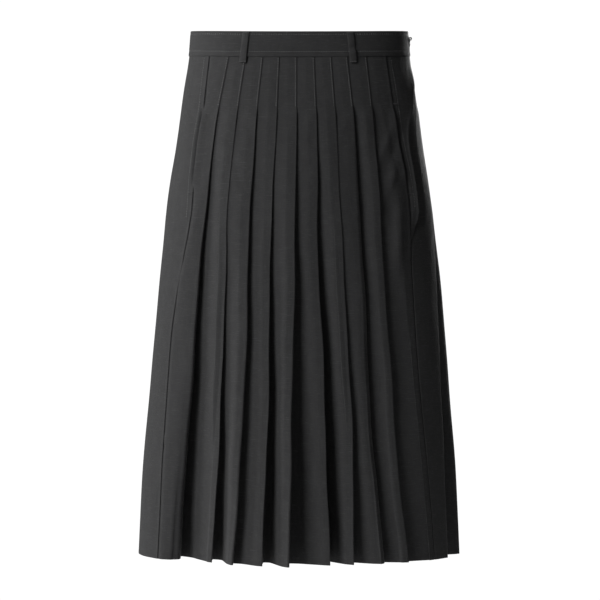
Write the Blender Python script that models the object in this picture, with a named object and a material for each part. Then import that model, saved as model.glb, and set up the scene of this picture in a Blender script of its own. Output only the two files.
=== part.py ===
"""Pleated skirt, filled out as if worn.

The skirt hangs from its waistband.  The origin is the middle of the waist,
at half the height of the band; +Z is up, the front faces -Y, and the wearer's
left, with the side zip, is at +X.

Every piece of cloth is a wall of even thickness.  Its section is a line drawn
on a plan curve, the figure's outline at one height: a point of that line has a
distance along the curve and a distance out from it.  The sections are worked
out at a row of heights and joined by faces, because a knife pleat's section
changes from a flat stitched fold at the waist to an open one at the hem.

Lengths in the tables and constants are millimetres.
"""

import math

import bmesh
import bpy
import numpy as np

MM = 0.001

# ---------------------------------------------------------------- sizes

BAND_TOP = 18.75
BAND_BOTTOM = -18.75
BAND_WALL = 2.2
HEM = -762.75
CLOTH_WALL = 1.0
SEAM_GAP = 0.3
SEAM_FLAT = 3.0             # cloth lies along the outline this far from a seam
STITCH_END = -90.0          # the pleats are sewn flat down to here
PLEAT_TOP = BAND_BOTTOM - SEAM_GAP

# The waist tips forward: its height changes with the depth across the figure.
WAIST_SLOPE = 0.118
WAIST_DIP = 0.0003

# The figure's outline at each height, as a flattened ellipse.
LEVEL_COLUMNS = ("height", "half_width", "front_depth", "back_depth", "squareness")
LEVELS = (
    (18.75, 162.0, 92.0, 94.0, 2.20),
    (-18.75, 165.0, 95.0, 98.0, 2.20),
    (-70.0, 172.5, 101.0, 107.0, 2.20),
    (-115.0, 178.5, 105.0, 114.0, 2.15),
    (-160.0, 184.5, 109.0, 120.0, 2.10),
    (-205.0, 192.0, 113.0, 125.0, 2.08),
    (-250.0, 198.0, 116.0, 129.0, 2.05),
    (-295.0, 202.5, 119.0, 132.0, 2.02),
    (-385.0, 212.0, 124.0, 137.0, 1.97),
    (-520.0, 223.5, 131.0, 144.0, 1.91),
    (-640.0, 233.0, 137.0, 150.0, 1.87),
    (-762.75, 239.0, 142.0, 155.0, 1.85),
)

# Heights at which the cloth's sections are worked out, below the band.
RING_HEIGHTS = (PLEAT_TOP, -55.0, STITCH_END, -115.0, -150.0, -195.0, -245.0,
                -300.0, -375.0, -465.0, -560.0, -660.0, HEM)

# Where a line of the front is measured: at the band, just below the stitching,
# at half length and at the hem.
STATIONS = (-19.0, -126.0, -446.0, -762.75)

# Front knife pleats, from the wearer's right to left.  The first four columns
# are the folded edge's distance from the centre front at the stations.  The
# others shape the pleat at the hem: how far its edge stands out from the
# outline, how deep the pleat opens, how far back under the edge its inner fold
# lies, how long the floor of the opening is, and how round the edge is.
PLEAT_COLUMNS = ("band", "release", "middle", "hem", "stand", "depth", "tuck", "floor", "roll")
FRONT_PLEATS = (
    (-103.0, -120.0, -148.0, -182.0, -9.0, 33.0, 24.0, 4.0, 1.0),
    (-79.0, -91.5, -106.5, -134.0, -12.0, 30.0, 14.0, 3.0, 1.0),
    (-53.0, -62.0, -73.0, -95.0, 4.0, 15.0, 7.0, 7.0, 1.0),
    (-29.0, -32.0, -40.0, -53.0, 4.0, 38.0, 6.0, 16.0, 1.0),
    (-3.0, -3.0, -7.0, -14.0, 12.0, 40.0, 6.0, 26.0, 2.5),
    (22.5, 27.0, 32.5, 44.0, -5.0, 44.0, 6.0, 3.0, 1.0),
    (48.0, 55.0, 72.0, 78.5, 0.0, 28.0, 5.0, 4.0, 1.0),
    (72.0, 82.5, 102.0, 104.0, -8.0, 34.0, -20.0, 3.0, 7.0),
    (100.0, 110.0, 132.0, 161.0, -9.0, 16.0, 4.0, 12.0, 1.0),
)

# Seams between the front and the back: their place across the front, as a share
# of the half width there.  The right one is the right pocket's mouth above its
# end.  The left one starts at the zip.
SEAM_COLUMNS = ("height", "right_share", "left_share")
SIDE_SEAMS = (
    (18.75, -0.800, 0.996),
    (-18.75, -0.800, 0.996),
    (-90.0, -0.795, 0.950),
    (-150.0, -0.812, 0.905),
    (-195.0, -0.806, 0.900),
    (-245.0, -0.790, 0.885),
    (-300.0, -0.811, 0.800),
    (-446.0, -0.860, 0.775),
    (-762.75, -0.862, 0.816),
)

# The left pocket's slanted mouth: distance from the centre front at each height.
MOUTH_COLUMNS = ("height", "left")
LEFT_MOUTH = (
    (-19.0, 126.0),
    (-90.0, 136.0),
    (-150.0, 145.0),
    (-195.0, 154.0),
    (-245.0, 160.5),
    (-300.0, 162.5),
)
LEFT_MOUTH_END = -300.0     # where the left mouth meets the seam
RIGHT_MOUTH_END = -245.0    # where the right mouth ends in the seam
POCKET_FOOT = 1.0           # the left pocket ends this far above its mouth's end
POCKET_DROP = 1.7           # a pocket lies this far under the front at its mouth
POCKET_STEP = 6.0           # the left side piece steps down to there over this width
POCKET_EASE = 0.3           # or over this share of the side piece, where that is narrower
POCKET_LIP = 0.5            # the step ends this far before the mouth
POCKET_TUCK = 3.0           # how far a bag runs just under the front before it drops
BAG_STEP = 2.5              # the width of that drop
BAG_REACH = 62.0            # how far a bag reaches from its mouth
BAG_LAP = 7.0               # the right bag's lap behind the back panel
BAG_DROP = 6.0              # how far a bag hangs inside the outline, at the band
BAG_SLOPE = 0.055           # and how much more for each millimetre down

# Back knife pleats turn the same way round, evenly spaced.  Distances are along
# the outline, at the stations: of the first folded edge past the wearer's left
# side, and of the last one before the right side.
BACK_PLEATS = 14
BACK_FIRST = (20.0, -2.0, -40.0, -52.0)
BACK_LAST = (55.0, 57.0, 62.0, 68.0)
BACK_SHAPE = {"stand": 0.0, "depth": 30.0, "tuck": 6.0, "floor": 12.0, "roll": 1.0, "next_stand": 0.0}

# A stitched pleat: three layers of cloth, and how far they lie on each other.
LAYER_PITCH = 1.6
STITCHED_TUCK = 12.0
RISE_START = 2.0
RISE_END = 1.5
OPEN_POWER = 0.85           # pleats open a little faster just below the stitching
CREST_LEAD = 11.0           # at the hem, where a face comes level with its edge
CREST_DROP = 0.22           # how far below its edge, as a share of the opening's depth
CREST_GAP = 3.0             # least length of the rise from the floor to there
LAST_RISE = 26.0            # the cloth past a panel's last pleat is level after this
EDGE_DROP = 0.8             # the edge's turn, as shares of its roundness: down
EDGE_BACK = 0.7             # and back under itself
FOLD_HIGH = 2.2             # the open inner fold's three points: its top above the floor
FOLD_MIDDLE = 0.9           # its middle above the floor
FOLD_ROUND = 0.3            # how far the middle bulges past the top
FOLD_FOOT = 1.0             # where the floor starts, past the fold
LAST_STEPS_FRONT = 1        # points that keep the stretch after the last pleat round
LAST_STEPS_BACK = 4

# Belt loops, flat strips sewn over the band: sideways place of top and bottom.
LOOP_NAMES = ("name", "top", "bottom", "turned")
LOOPS = (
    ("belt_loop_front_right", -77.0, -82.0, False),
    ("belt_loop_front_left", 73.0, 78.0, False),
    ("belt_loop_back_left", -75.0, -78.0, True),
    ("belt_loop_back_right", 75.0, 78.0, True),
)
LOOP_WIDTH = 10.0
LOOP_WALL = 1.2
LOOP_TOP = 18.55
LOOP_BOTTOM = -27.5
LOOP_ARCH = 1.8             # how far its middle stands off the band
LOOP_ROWS = 7
LOOP_COLUMNS = 4

# Side zip: a gap in the band and a tape inside the seam below it.
ZIP_GAP = 2.0
ZIP_LENGTH = 200.0
ZIP_TAPE_WIDTH = 22.0
ZIP_TAPE_WALL = 1.0
ZIP_TAPE_HEIGHTS = (1.5, BAND_BOTTOM, -55.0, -90.0, -150.0, BAND_BOTTOM - ZIP_LENGTH)
ZIP_TAPE_COLUMNS = 5

# Zip slider and its hanging pull tab.
SLIDER_HEIGHT = 9.0
SLIDER_WIDTH = 7.0
SLIDER_DEPTH = 3.0
SLIDER_CLEARANCE = 0.8      # from the inside of the band to the slider's body
SLIDER_SIDE = 0.5           # the body is less deep than the bridge's foot by this
SLIDER_END = 0.6            # and less tall
BRIDGE_WALL = 1.2
BRIDGE_REACH = 4.6          # how far the bridge stands out of the band
BRIDGE_WINDOW = 2.4
BRIDGE_CORNER = 0.8
TAB_AXIS_HEIGHT = 7.5
TAB_LENGTH = 12.5
TAB_WIDTH = 5.4
TAB_WALL = 1.2
TAB_TOP_SHARE = 0.8         # its width at the hinge, as a share of the full width
TAB_SLOT_END = 4.0          # long enough to pass the bridge's corners as the tab swings
TAB_SLOT_WIDTH = 2.0
TAB_SHOULDER = 2.5          # it is full width this far below the slot
TAB_TIP_WIDTH = 2.6
TAB_TIP_POINTS = 7

OUTLINE_STEPS = 720
BAND_STEPS = 72
TANGENT_REACH = 1.5         # the outline's direction is taken this far each way
MITRE_LIMIT = 0.7           # sharper corners than this are cut short
SHARP_ANGLE = 35.0
WELD = 1e-6


# ---------------------------------------------------------------- the outline

def column(table, names, name):
    """One named column of a table, as an array."""
    return np.array([row[names.index(name)] for row in table], dtype=float)


def at_height(table, names, name, height):
    """A column of a table that is listed from the top down, read at a height."""
    heights = column(table, names, "height")
    return float(np.interp(-height, -heights, column(table, names, name)))


class Outline:
    """The figure's plan curve at one height.

    Distances along it start at the centre front and grow towards +X, round the
    back and on to the centre front again.
    """

    def __init__(self, height):
        self.height = height
        half_width = at_height(LEVELS, LEVEL_COLUMNS, "half_width", height)
        front = at_height(LEVELS, LEVEL_COLUMNS, "front_depth", height)
        back = at_height(LEVELS, LEVEL_COLUMNS, "back_depth", height)
        power = 2.0 / at_height(LEVELS, LEVEL_COLUMNS, "squareness", height)
        turn = np.linspace(-math.pi, math.pi, OUTLINE_STEPS + 1)
        across, along = np.sin(turn), -np.cos(turn)
        depth = np.where(along < 0.0, front, back)
        self.half_width = half_width
        self.x = half_width * np.sign(across) * np.abs(across) ** power
        self.y = depth * np.sign(along) * np.abs(along) ** power
        steps = np.hypot(np.diff(self.x), np.diff(self.y))
        self.distance = np.concatenate(([0.0], np.cumsum(steps)))
        self.length = self.distance[-1]
        self.distance = self.distance - self.length / 2.0
        quarter = OUTLINE_STEPS // 4
        self.front = slice(quarter, 3 * quarter + 1)

    def front_distance(self, x):
        """Distance along the curve of a point of the front, from its x."""
        return np.interp(x, self.x[self.front], self.distance[self.front])

    def back_distance(self, x):
        """Distance along the curve of a point of the back, from its x."""
        quarter = OUTLINE_STEPS // 4
        if x >= 0.0:
            left = slice(3 * quarter, None)
            return float(np.interp(-x, -self.x[left], self.distance[left]))
        right = slice(0, quarter + 1)
        return float(np.interp(-x, -self.x[right], self.distance[right])) + self.length

    def point(self, distance, out):
        """Plan points at distances along the curve, moved out from it."""
        distance = np.asarray(distance, dtype=float)
        wrapped = self._wrap(distance)
        x, y = self._read(wrapped)
        ahead_x, ahead_y = self._read(self._wrap(wrapped + TANGENT_REACH))
        behind_x, behind_y = self._read(self._wrap(wrapped - TANGENT_REACH))
        run_x, run_y = ahead_x - behind_x, ahead_y - behind_y
        size = np.hypot(run_x, run_y)
        return np.stack([x + out * run_y / size, y - out * run_x / size], axis=-1)

    def _wrap(self, distance):
        return (distance + self.length / 2.0) % self.length - self.length / 2.0

    def _read(self, distance):
        return (np.interp(distance, self.distance, self.x),
                np.interp(distance, self.distance, self.y))


def tipped(height, y):
    """Height of a point: the waist's tilt, fading to none at the hem."""
    share = np.clip((height - HEM) / (BAND_TOP - HEM), 0.0, 1.0)
    return height + share * (WAIST_SLOPE * y - WAIST_DIP * y * y)


def side_seams(outline):
    """Distances along the outline of the right and the left side seam."""
    right = at_height(SIDE_SEAMS, SEAM_COLUMNS, "right_share", outline.height)
    left = at_height(SIDE_SEAMS, SEAM_COLUMNS, "left_share", outline.height)
    return (float(outline.front_distance(right * outline.half_width)),
            float(outline.front_distance(left * outline.half_width)))


def front_borders(outline):
    """Where the front panel ends: at the seams, or higher up at the left pocket's mouth."""
    right, left = side_seams(outline)
    if outline.height > LEFT_MOUTH_END:
        mouth = at_height(LEFT_MOUTH, MOUTH_COLUMNS, "left", outline.height)
        left = float(outline.front_distance(mouth))
    return right, left


# ---------------------------------------------------------------- walls of cloth

def offset_line(line, amount):
    """A plan line moved sideways, with mitred corners; positive is outwards."""
    run = np.diff(line, axis=0)
    run = run / np.linalg.norm(run, axis=1)[:, None]
    side = np.stack([run[:, 1], -run[:, 0]], axis=-1)
    before = np.vstack([side[:1], side])
    after = np.vstack([side, side[-1:]])
    middle = before + after
    middle = middle / np.linalg.norm(middle, axis=1)[:, None]
    stretch = 1.0 / np.clip(np.sum(middle * before, axis=1), MITRE_LIMIT, 1.0)
    return line + amount * middle * stretch[:, None]


def wall_points(line, height, amount):
    """Points in space of one section's line moved out by an amount."""
    moved = offset_line(line, amount)
    return np.column_stack([moved, tipped(height, line[:, 1])])


def wall_mesh(name, sections, thickness):
    """A closed wall through sections, a list of (height, plan line) from the top down."""
    outer = np.stack([wall_points(line, height, thickness / 2) for height, line in sections])
    inner = np.stack([wall_points(line, height, -thickness / 2) for height, line in sections])
    rows, columns = outer.shape[:2]
    points = np.concatenate([outer.reshape(-1, 3), inner.reshape(-1, 3)]) * MM
    index = np.arange(rows * columns).reshape(rows, columns)
    inside = index + rows * columns

    def patch(a, b, c, d):
        return np.stack([a.ravel(), b.ravel(), c.ravel(), d.ravel()], axis=-1)

    faces = np.concatenate([
        patch(index[:-1, :-1], index[1:, :-1], index[1:, 1:], index[:-1, 1:]),
        patch(inside[:-1, :-1], inside[:-1, 1:], inside[1:, 1:], inside[1:, :-1]),
        patch(index[0, :-1], index[0, 1:], inside[0, 1:], inside[0, :-1]),
        patch(index[-1, :-1], inside[-1, :-1], inside[-1, 1:], index[-1, 1:]),
        patch(index[:-1, 0], inside[:-1, 0], inside[1:, 0], index[1:, 0]),
        patch(index[:-1, -1], index[1:, -1], inside[1:, -1], inside[:-1, -1]),
    ])
    mesh = bpy.data.meshes.new(name)
    mesh.from_pydata(points.tolist(), [], faces.tolist())
    mesh.update()
    return mesh


# ---------------------------------------------------------------- pleats

def smooth_line(stations, values, height):
    """A line's place at a height: the cubic through its four stations."""
    total = 0.0
    for i, here in enumerate(stations):
        weight = 1.0
        for j, other in enumerate(stations):
            if i != j:
                weight *= (height - other) / (here - other)
        total += weight * values[i]
    return total


def mix(first, second, share):
    """A number part of the way from the first to the second."""
    return first + (second - first) * share


def pleat_points(edge, next_edge, last, share, shape):
    """Section points from one pleat's folded edge to the next pleat's face.

    Each point is (distance along, distance out).  The edge turns under, the
    cloth runs back to the inner fold, turns again and rises to the next edge.
    share is 0 where the pleat is stitched flat and 1 at the hem.
    """
    half = LAYER_PITCH / 2
    turn = mix(half, shape["roll"], share)
    stand = mix(0.0, shape["stand"], share)
    floor_out = mix(-2 * LAYER_PITCH, shape["stand"] - shape["depth"], share)
    under_out = mix(-LAYER_PITCH, shape["stand"] - 2.0 * shape["roll"], share)
    tuck = mix(STITCHED_TUCK, shape["tuck"], share)
    fold_top = mix(-LAYER_PITCH, floor_out + FOLD_HIGH, share)
    fold_middle = mix(-1.5 * LAYER_PITCH, floor_out + FOLD_MIDDLE, share)
    rise_start = edge + mix(RISE_START, shape["floor"], share)
    next_stand = mix(0.0, shape["next_stand"], share)
    if last:
        crest = rise_start + mix(STITCHED_TUCK - RISE_START, LAST_RISE, share)
    else:
        crest = next_edge - mix(STITCHED_TUCK + RISE_END, CREST_LEAD, share)
    crest = max(crest, rise_start + CREST_GAP)
    crest_out = next_stand + share * CREST_DROP * (floor_out - next_stand)
    return [
        (edge - turn, stand),
        (edge, mix(-half, stand - EDGE_DROP * turn, share)),
        (edge - mix(half, EDGE_BACK * turn, share), under_out),
        (edge - tuck + mix(half, FOLD_ROUND, share), fold_top),
        (edge - tuck - mix(0.0, FOLD_ROUND, share), fold_middle),
        (edge - tuck + mix(half, FOLD_FOOT, share), floor_out),
        (rise_start, floor_out),
        (crest, crest_out),
    ]


def plain_points(start, start_out, end, end_out, steps):
    """Points between two places of a plain stretch, so that it follows the outline."""
    shares = [(step + 1) / (steps + 1) for step in range(steps)]
    return [(mix(start, end, share), mix(start_out, end_out, share)) for share in shares]


def pleated_line(outline, start, end, edges, shapes, last_steps):
    """Plan line of a pleated panel from one border to the other."""
    share = np.clip((STITCH_END - outline.height) / (STITCH_END - HEM), 0.0, 1.0) ** OPEN_POWER
    path = [(start, 0.0), (start + SEAM_FLAT, 0.0)]
    path.extend(plain_points(start + SEAM_FLAT, 0.0, edges[0], share * shapes[0]["stand"], 1))
    for number, (edge, shape) in enumerate(zip(edges, shapes)):
        last = number == len(edges) - 1
        next_edge = end if last else edges[number + 1]
        path.extend(pleat_points(edge, next_edge, last, share, shape))
    path.extend(plain_points(*path[-1], end - SEAM_FLAT, 0.0, last_steps))
    path.extend([(end - SEAM_FLAT, 0.0), (end, 0.0)])
    path = np.array(path)
    return outline.point(path[:, 0], path[:, 1])


def front_shapes():
    """Each front pleat's shape at the hem, by column name."""
    rows = [dict(zip(PLEAT_COLUMNS, row)) for row in FRONT_PLEATS]
    for row, following in zip(rows, rows[1:] + [{"stand": 0.0}]):
        row["next_stand"] = following["stand"]
    return rows


def front_sections():
    """Sections of the front panel."""
    shapes = front_shapes()
    sections = []
    for height in RING_HEIGHTS:
        outline = Outline(height)
        right, left = front_borders(outline)
        places = [smooth_line(STATIONS, row[:4], height) for row in FRONT_PLEATS]
        edges = [float(outline.front_distance(place)) for place in places]
        line = pleated_line(outline, right + SEAM_GAP / 2, left - SEAM_GAP / 2,
                            edges, shapes, LAST_STEPS_FRONT)
        sections.append((height, line))
    return sections


def back_sections():
    """Sections of the back panel, from the left side seam round to the right one."""
    sections = []
    for height in RING_HEIGHTS:
        outline = Outline(height)
        right, left = side_seams(outline)
        left_side = outline.distance[3 * OUTLINE_STEPS // 4]
        right_side = outline.distance[OUTLINE_STEPS // 4] + outline.length
        first = left_side + smooth_line(STATIONS, BACK_FIRST, height)
        final = right_side - smooth_line(STATIONS, BACK_LAST, height)
        edges = list(np.linspace(first, final, BACK_PLEATS))
        line = pleated_line(outline, left + SEAM_GAP / 2, right + outline.length - SEAM_GAP / 2,
                            edges, [BACK_SHAPE] * BACK_PLEATS, LAST_STEPS_BACK)
        sections.append((height, line))
    return sections


# ---------------------------------------------------------------- plain pieces

def bag_path(mouth, side, height):
    """Distances along and out of a pocket's bag, from the mouth's edge inwards."""
    bag_out = -BAG_DROP - BAG_SLOPE * (BAND_BOTTOM - height)
    return [
        (mouth - side * POCKET_TUCK, -POCKET_DROP),
        (mouth - side * (POCKET_TUCK + BAG_STEP), bag_out),
        (mouth - side * (POCKET_TUCK + BAG_REACH) / 2, bag_out),
        (mouth - side * BAG_REACH, bag_out),
    ]


def left_pocket_sections():
    """Sections of the left pocket: a side piece from the zip's seam to the mouth, and the bag."""
    sections = []
    for height in [h for h in RING_HEIGHTS if h > LEFT_MOUTH_END] + [LEFT_MOUTH_END + POCKET_FOOT]:
        outline = Outline(height)
        start = side_seams(outline)[1] - SEAM_GAP / 2
        mouth = front_borders(outline)[1]
        visible = start - mouth
        sunk = -POCKET_DROP * max(0.0, 1.0 - visible / POCKET_STEP)
        path = [(start - visible * part, sunk) for part in (0.0, 0.25, 0.5)]
        path.append((mouth + min(POCKET_STEP, visible * POCKET_EASE), sunk))
        path.append((mouth + POCKET_LIP, -POCKET_DROP))
        path = np.array((path + bag_path(mouth, 1, height))[::-1])
        sections.append((height, outline.point(path[:, 0], path[:, 1])))
    return sections


def right_pocket_sections():
    """Sections of the right pocket's bag, which hangs inside from the seam that is its mouth."""
    sections = []
    for height in [h for h in RING_HEIGHTS if h > RIGHT_MOUTH_END] + [RIGHT_MOUTH_END]:
        outline = Outline(height)
        mouth = side_seams(outline)[0]
        path = [(mouth - BAG_LAP, -POCKET_DROP), (mouth, -POCKET_DROP)]
        path = np.array(path + bag_path(mouth, -1, height))
        sections.append((height, outline.point(path[:, 0], path[:, 1])))
    return sections


def band_sections():
    """Sections of the waistband, from the zip's gap right round to it again."""
    sections = []
    for height in (BAND_TOP, 0.0, BAND_BOTTOM):
        outline = Outline(height)
        seam = side_seams(outline)[1]
        places = np.linspace(seam + ZIP_GAP / 2, seam + outline.length - ZIP_GAP / 2, BAND_STEPS + 1)
        sections.append((height, outline.point(places, np.zeros(len(places)))))
    return sections


def loop_sections(top, bottom, turned):
    """Sections of a belt loop, which stands off the band in its middle."""
    sections = []
    for row in range(LOOP_ROWS):
        share = row / (LOOP_ROWS - 1)
        height = mix(LOOP_TOP, LOOP_BOTTOM, share)
        outline = Outline(height)
        place = mix(top, bottom, share)
        centre = outline.back_distance(-place) if turned else float(outline.front_distance(place))
        resting = BAND_WALL / 2 + SEAM_GAP + LOOP_WALL / 2
        out = resting + LOOP_ARCH * math.sin(math.pi * share)
        places = centre + np.linspace(-LOOP_WIDTH / 2, LOOP_WIDTH / 2, LOOP_COLUMNS)
        sections.append((height, outline.point(places, np.full(LOOP_COLUMNS, out))))
    return sections


def zip_tape_sections():
    """Sections of the zip's tape, which lies inside the left side seam."""
    sections = []
    for height in ZIP_TAPE_HEIGHTS:
        outline = Outline(height)
        seam = side_seams(outline)[1]
        out = -(BAND_WALL / 2 + SEAM_GAP + ZIP_TAPE_WALL / 2)
        places = seam + np.linspace(-ZIP_TAPE_WIDTH / 2, ZIP_TAPE_WIDTH / 2, ZIP_TAPE_COLUMNS)
        sections.append((height, outline.point(places, np.full(ZIP_TAPE_COLUMNS, out))))
    return sections


# ---------------------------------------------------------------- zip slider and pull tab

def zip_frame():
    """Place of the pull tab's hinge, and the directions along and out from the band."""
    outline = Outline(TAB_AXIS_HEIGHT)
    seam = side_seams(outline)[1]
    face = outline.point([seam], np.array([BAND_WALL / 2]))[0]
    inner = outline.point([seam], np.array([-BAND_WALL / 2]))[0]
    out = (face - inner) / np.linalg.norm(face - inner)
    along = np.array([-out[1], out[0]])
    height = tipped(TAB_AXIS_HEIGHT, face[1])
    return np.array([face[0], face[1], height]), along, out


def plate_mesh(name, outline_points, holes, thickness):
    """A flat plate with rounded holes cut through, in its own x-y plane, z its thickness."""
    curve = bpy.data.curves.new(name + "_outline", "CURVE")
    curve.dimensions = "2D"
    curve.fill_mode = "BOTH"
    curve.extrude = thickness * MM / 2
    for loop in [outline_points] + holes:
        spline = curve.splines.new("POLY")
        spline.points.add(len(loop) - 1)
        spline.use_cyclic_u = True
        for point, (x, y) in zip(spline.points, loop):
            point.co = (x * MM, y * MM, 0.0, 1.0)
    shape = bpy.data.objects.new(name + "_outline", curve)
    bpy.context.scene.collection.objects.link(shape)
    bpy.context.view_layer.update()
    graph = bpy.context.evaluated_depsgraph_get()
    mesh = bpy.data.meshes.new_from_object(shape.evaluated_get(graph))
    mesh.name = name
    bpy.data.objects.remove(shape, do_unlink=True)
    bpy.data.curves.remove(curve)
    work = bmesh.new()
    work.from_mesh(mesh)
    bmesh.ops.remove_doubles(work, verts=work.verts, dist=WELD)
    bmesh.ops.recalc_face_normals(work, faces=work.faces)
    work.to_mesh(mesh)
    work.free()
    return mesh


def tab_outline():
    """The pull tab's teardrop outline: square at the hinge, wider, then a round tip."""
    top = TAB_WALL / 2
    half = TAB_WIDTH / 2
    tip = TAB_TIP_WIDTH / 2
    neck = half * TAB_TOP_SHARE
    right = [(neck, top), (neck, -TAB_SLOT_END), (half, -TAB_SLOT_END - TAB_SHOULDER)]
    bottom = -TAB_LENGTH + tip
    turns = np.linspace(0.0, math.pi, TAB_TIP_POINTS)
    arc = [(tip * math.cos(turn), bottom - tip * math.sin(turn)) for turn in turns]
    left = [(-x, y) for x, y in reversed(right)]
    return right + arc + left


def box_outline(x0, x1, y0, y1):
    """Corners of an upright rectangle."""
    return [(x0, y0), (x1, y0), (x1, y1), (x0, y1)]


def placed(mesh, centre, x_axis, y_axis):
    """Turns a flat mesh's axes to x_axis and y_axis and moves it to centre."""
    z_axis = np.cross(x_axis, y_axis)
    count = len(mesh.vertices)
    flat = np.empty(count * 3)
    mesh.vertices.foreach_get("co", flat)
    own = flat.reshape(-1, 3)
    moved = centre * MM + own @ np.stack([x_axis, y_axis, z_axis])
    mesh.vertices.foreach_set("co", moved.ravel())
    mesh.update()
    return mesh


# ---------------------------------------------------------------- materials and assembly

MATERIALS = {
    "suiting": ((0.026, 0.026, 0.028, 1.0), 0.85, 0.0),
    "zip_tape": ((0.02, 0.02, 0.022, 1.0), 0.9, 0.0),
    "zip_metal": ((0.55, 0.56, 0.58, 1.0), 0.32, 1.0),
}


def material(name, piece):
    """A piece's own material, of a named finish."""
    colour, roughness, metallic = MATERIALS[name]
    made = bpy.data.materials.new(piece + "_" + name)
    made.use_nodes = True
    shader = made.node_tree.nodes["Principled BSDF"]
    shader.inputs["Base Color"].default_value = colour
    shader.inputs["Roughness"].default_value = roughness
    shader.inputs["Metallic"].default_value = metallic
    return made


def add_piece(collection, name, mesh, finish):
    """Puts a mesh in the skirt's collection as a named object."""
    piece = bpy.data.objects.new(name, mesh)
    mesh.name = name
    mesh.materials.append(material(finish, name))
    mesh.shade_smooth()
    mesh.set_sharp_from_angle(angle=math.radians(SHARP_ANGLE))
    collection.objects.link(piece)
    return piece


def add_slider(collection):
    """The slider: a body inside the band and a bridge through its gap."""
    hinge, along, out = zip_frame()
    out3 = np.array([out[0], out[1], 0.0])
    along3 = np.array([along[0], along[1], 0.0])
    up = np.array([0.0, 0.0, 1.0])
    half = BRIDGE_WINDOW / 2
    axis_out = half + SEAM_GAP
    ring_low = -half - BRIDGE_WALL
    ring_high = half + BRIDGE_WALL
    body_face = -BAND_WALL - SLIDER_CLEARANCE
    corner = BRIDGE_REACH - BRIDGE_CORNER
    outer_points = [
        (body_face - SLIDER_DEPTH, -SLIDER_HEIGHT / 2), (body_face, -SLIDER_HEIGHT / 2),
        (body_face, ring_low), (corner, ring_low), (BRIDGE_REACH, ring_low + BRIDGE_CORNER),
        (BRIDGE_REACH, ring_high - BRIDGE_CORNER), (corner, ring_high),
        (body_face, ring_high), (body_face, SLIDER_HEIGHT / 2),
        (body_face - SLIDER_DEPTH, SLIDER_HEIGHT / 2),
    ]
    window = box_outline(axis_out - half, axis_out + half, -half, half)
    mesh = plate_mesh("zip_slider", outer_points, [window], BRIDGE_WALL)
    placed(mesh, hinge, out3, up)
    bridge = add_piece(collection, "zip_slider", mesh, "zip_metal")
    body = bmesh.new()
    bmesh.ops.create_cube(body, size=1.0)
    side = bpy.data.meshes.new("zip_slider_body")
    for vertex in body.verts:
        across = out3 * vertex.co.x * (SLIDER_DEPTH - SLIDER_SIDE)
        wide = along3 * vertex.co.y * SLIDER_WIDTH
        tall = up * vertex.co.z * (SLIDER_HEIGHT - SLIDER_END)
        middle = hinge + out3 * (body_face - SLIDER_DEPTH / 2)
        vertex.co = (middle + across + wide + tall) * MM
    bmesh.ops.recalc_face_normals(body, faces=body.faces)
    body.to_mesh(side)
    body.free()
    joined = bpy.data.objects.new("zip_slider_body_shape", side)
    guides = bpy.data.collections["Guides"]
    guides.objects.link(joined)
    joined.hide_render = True
    joined.display_type = "WIRE"
    union = bridge.modifiers.new("Body", "BOOLEAN")
    union.operation = "UNION"
    union.object = joined


def add_tab(collection):
    """The pull tab, with its origin on the hinge's axis."""
    hinge, along, out = zip_frame()
    out3 = np.array([out[0], out[1], 0.0])
    along3 = np.array([along[0], along[1], 0.0])
    up = np.array([0.0, 0.0, 1.0])
    axis_out = BRIDGE_WINDOW / 2 + SEAM_GAP
    slot = box_outline(-TAB_SLOT_WIDTH / 2, TAB_SLOT_WIDTH / 2, -TAB_SLOT_END, -TAB_WALL / 2)
    mesh = plate_mesh("zip_pull_tab", tab_outline(), [slot], TAB_WALL)
    placed(mesh, np.zeros(3), along3, up)
    tab = add_piece(collection, "zip_pull_tab", mesh, "zip_metal")
    tab.location = (hinge + out3 * axis_out) * MM


def main():
    for old in list(bpy.data.objects):
        bpy.data.objects.remove(old, do_unlink=True)
    skirt = bpy.data.collections.new("Pleated skirt")
    bpy.context.scene.collection.children.link(skirt)
    guides = bpy.data.collections.new("Guides")
    bpy.context.scene.collection.children.link(guides)

    add_piece(skirt, "waistband", wall_mesh("waistband", band_sections(), BAND_WALL), "suiting")
    add_piece(skirt, "front_panel", wall_mesh("front_panel", front_sections(), CLOTH_WALL), "suiting")
    add_piece(skirt, "back_panel", wall_mesh("back_panel", back_sections(), CLOTH_WALL), "suiting")
    pockets = {"pocket_right": right_pocket_sections(), "pocket_left": left_pocket_sections()}
    for name, sections in pockets.items():
        add_piece(skirt, name, wall_mesh(name, sections, CLOTH_WALL), "suiting")
    for row in LOOPS:
        loop = dict(zip(LOOP_NAMES, row))
        sections = loop_sections(loop["top"], loop["bottom"], loop["turned"])
        add_piece(skirt, loop["name"], wall_mesh(loop["name"], sections, LOOP_WALL), "suiting")
    tape = wall_mesh("zip_tape", zip_tape_sections(), ZIP_TAPE_WALL)
    add_piece(skirt, "zip_tape", tape, "zip_tape")
    add_slider(skirt)
    add_tab(skirt)


main()
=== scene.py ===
"""Pleated skirt: the cloth, its sewing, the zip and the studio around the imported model.

The file is laid out as a Blender add-on and is run as a script.  Every piece of
cloth is a thin wall computed with numpy.  Its points have three coordinates of
their own: a distance along the figure's plan curve, a distance out from that
curve, and a height.  `Figure` turns them into points in space.

Tables and constants are in millimetres; Blender gets metres.
"""

import math

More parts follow.
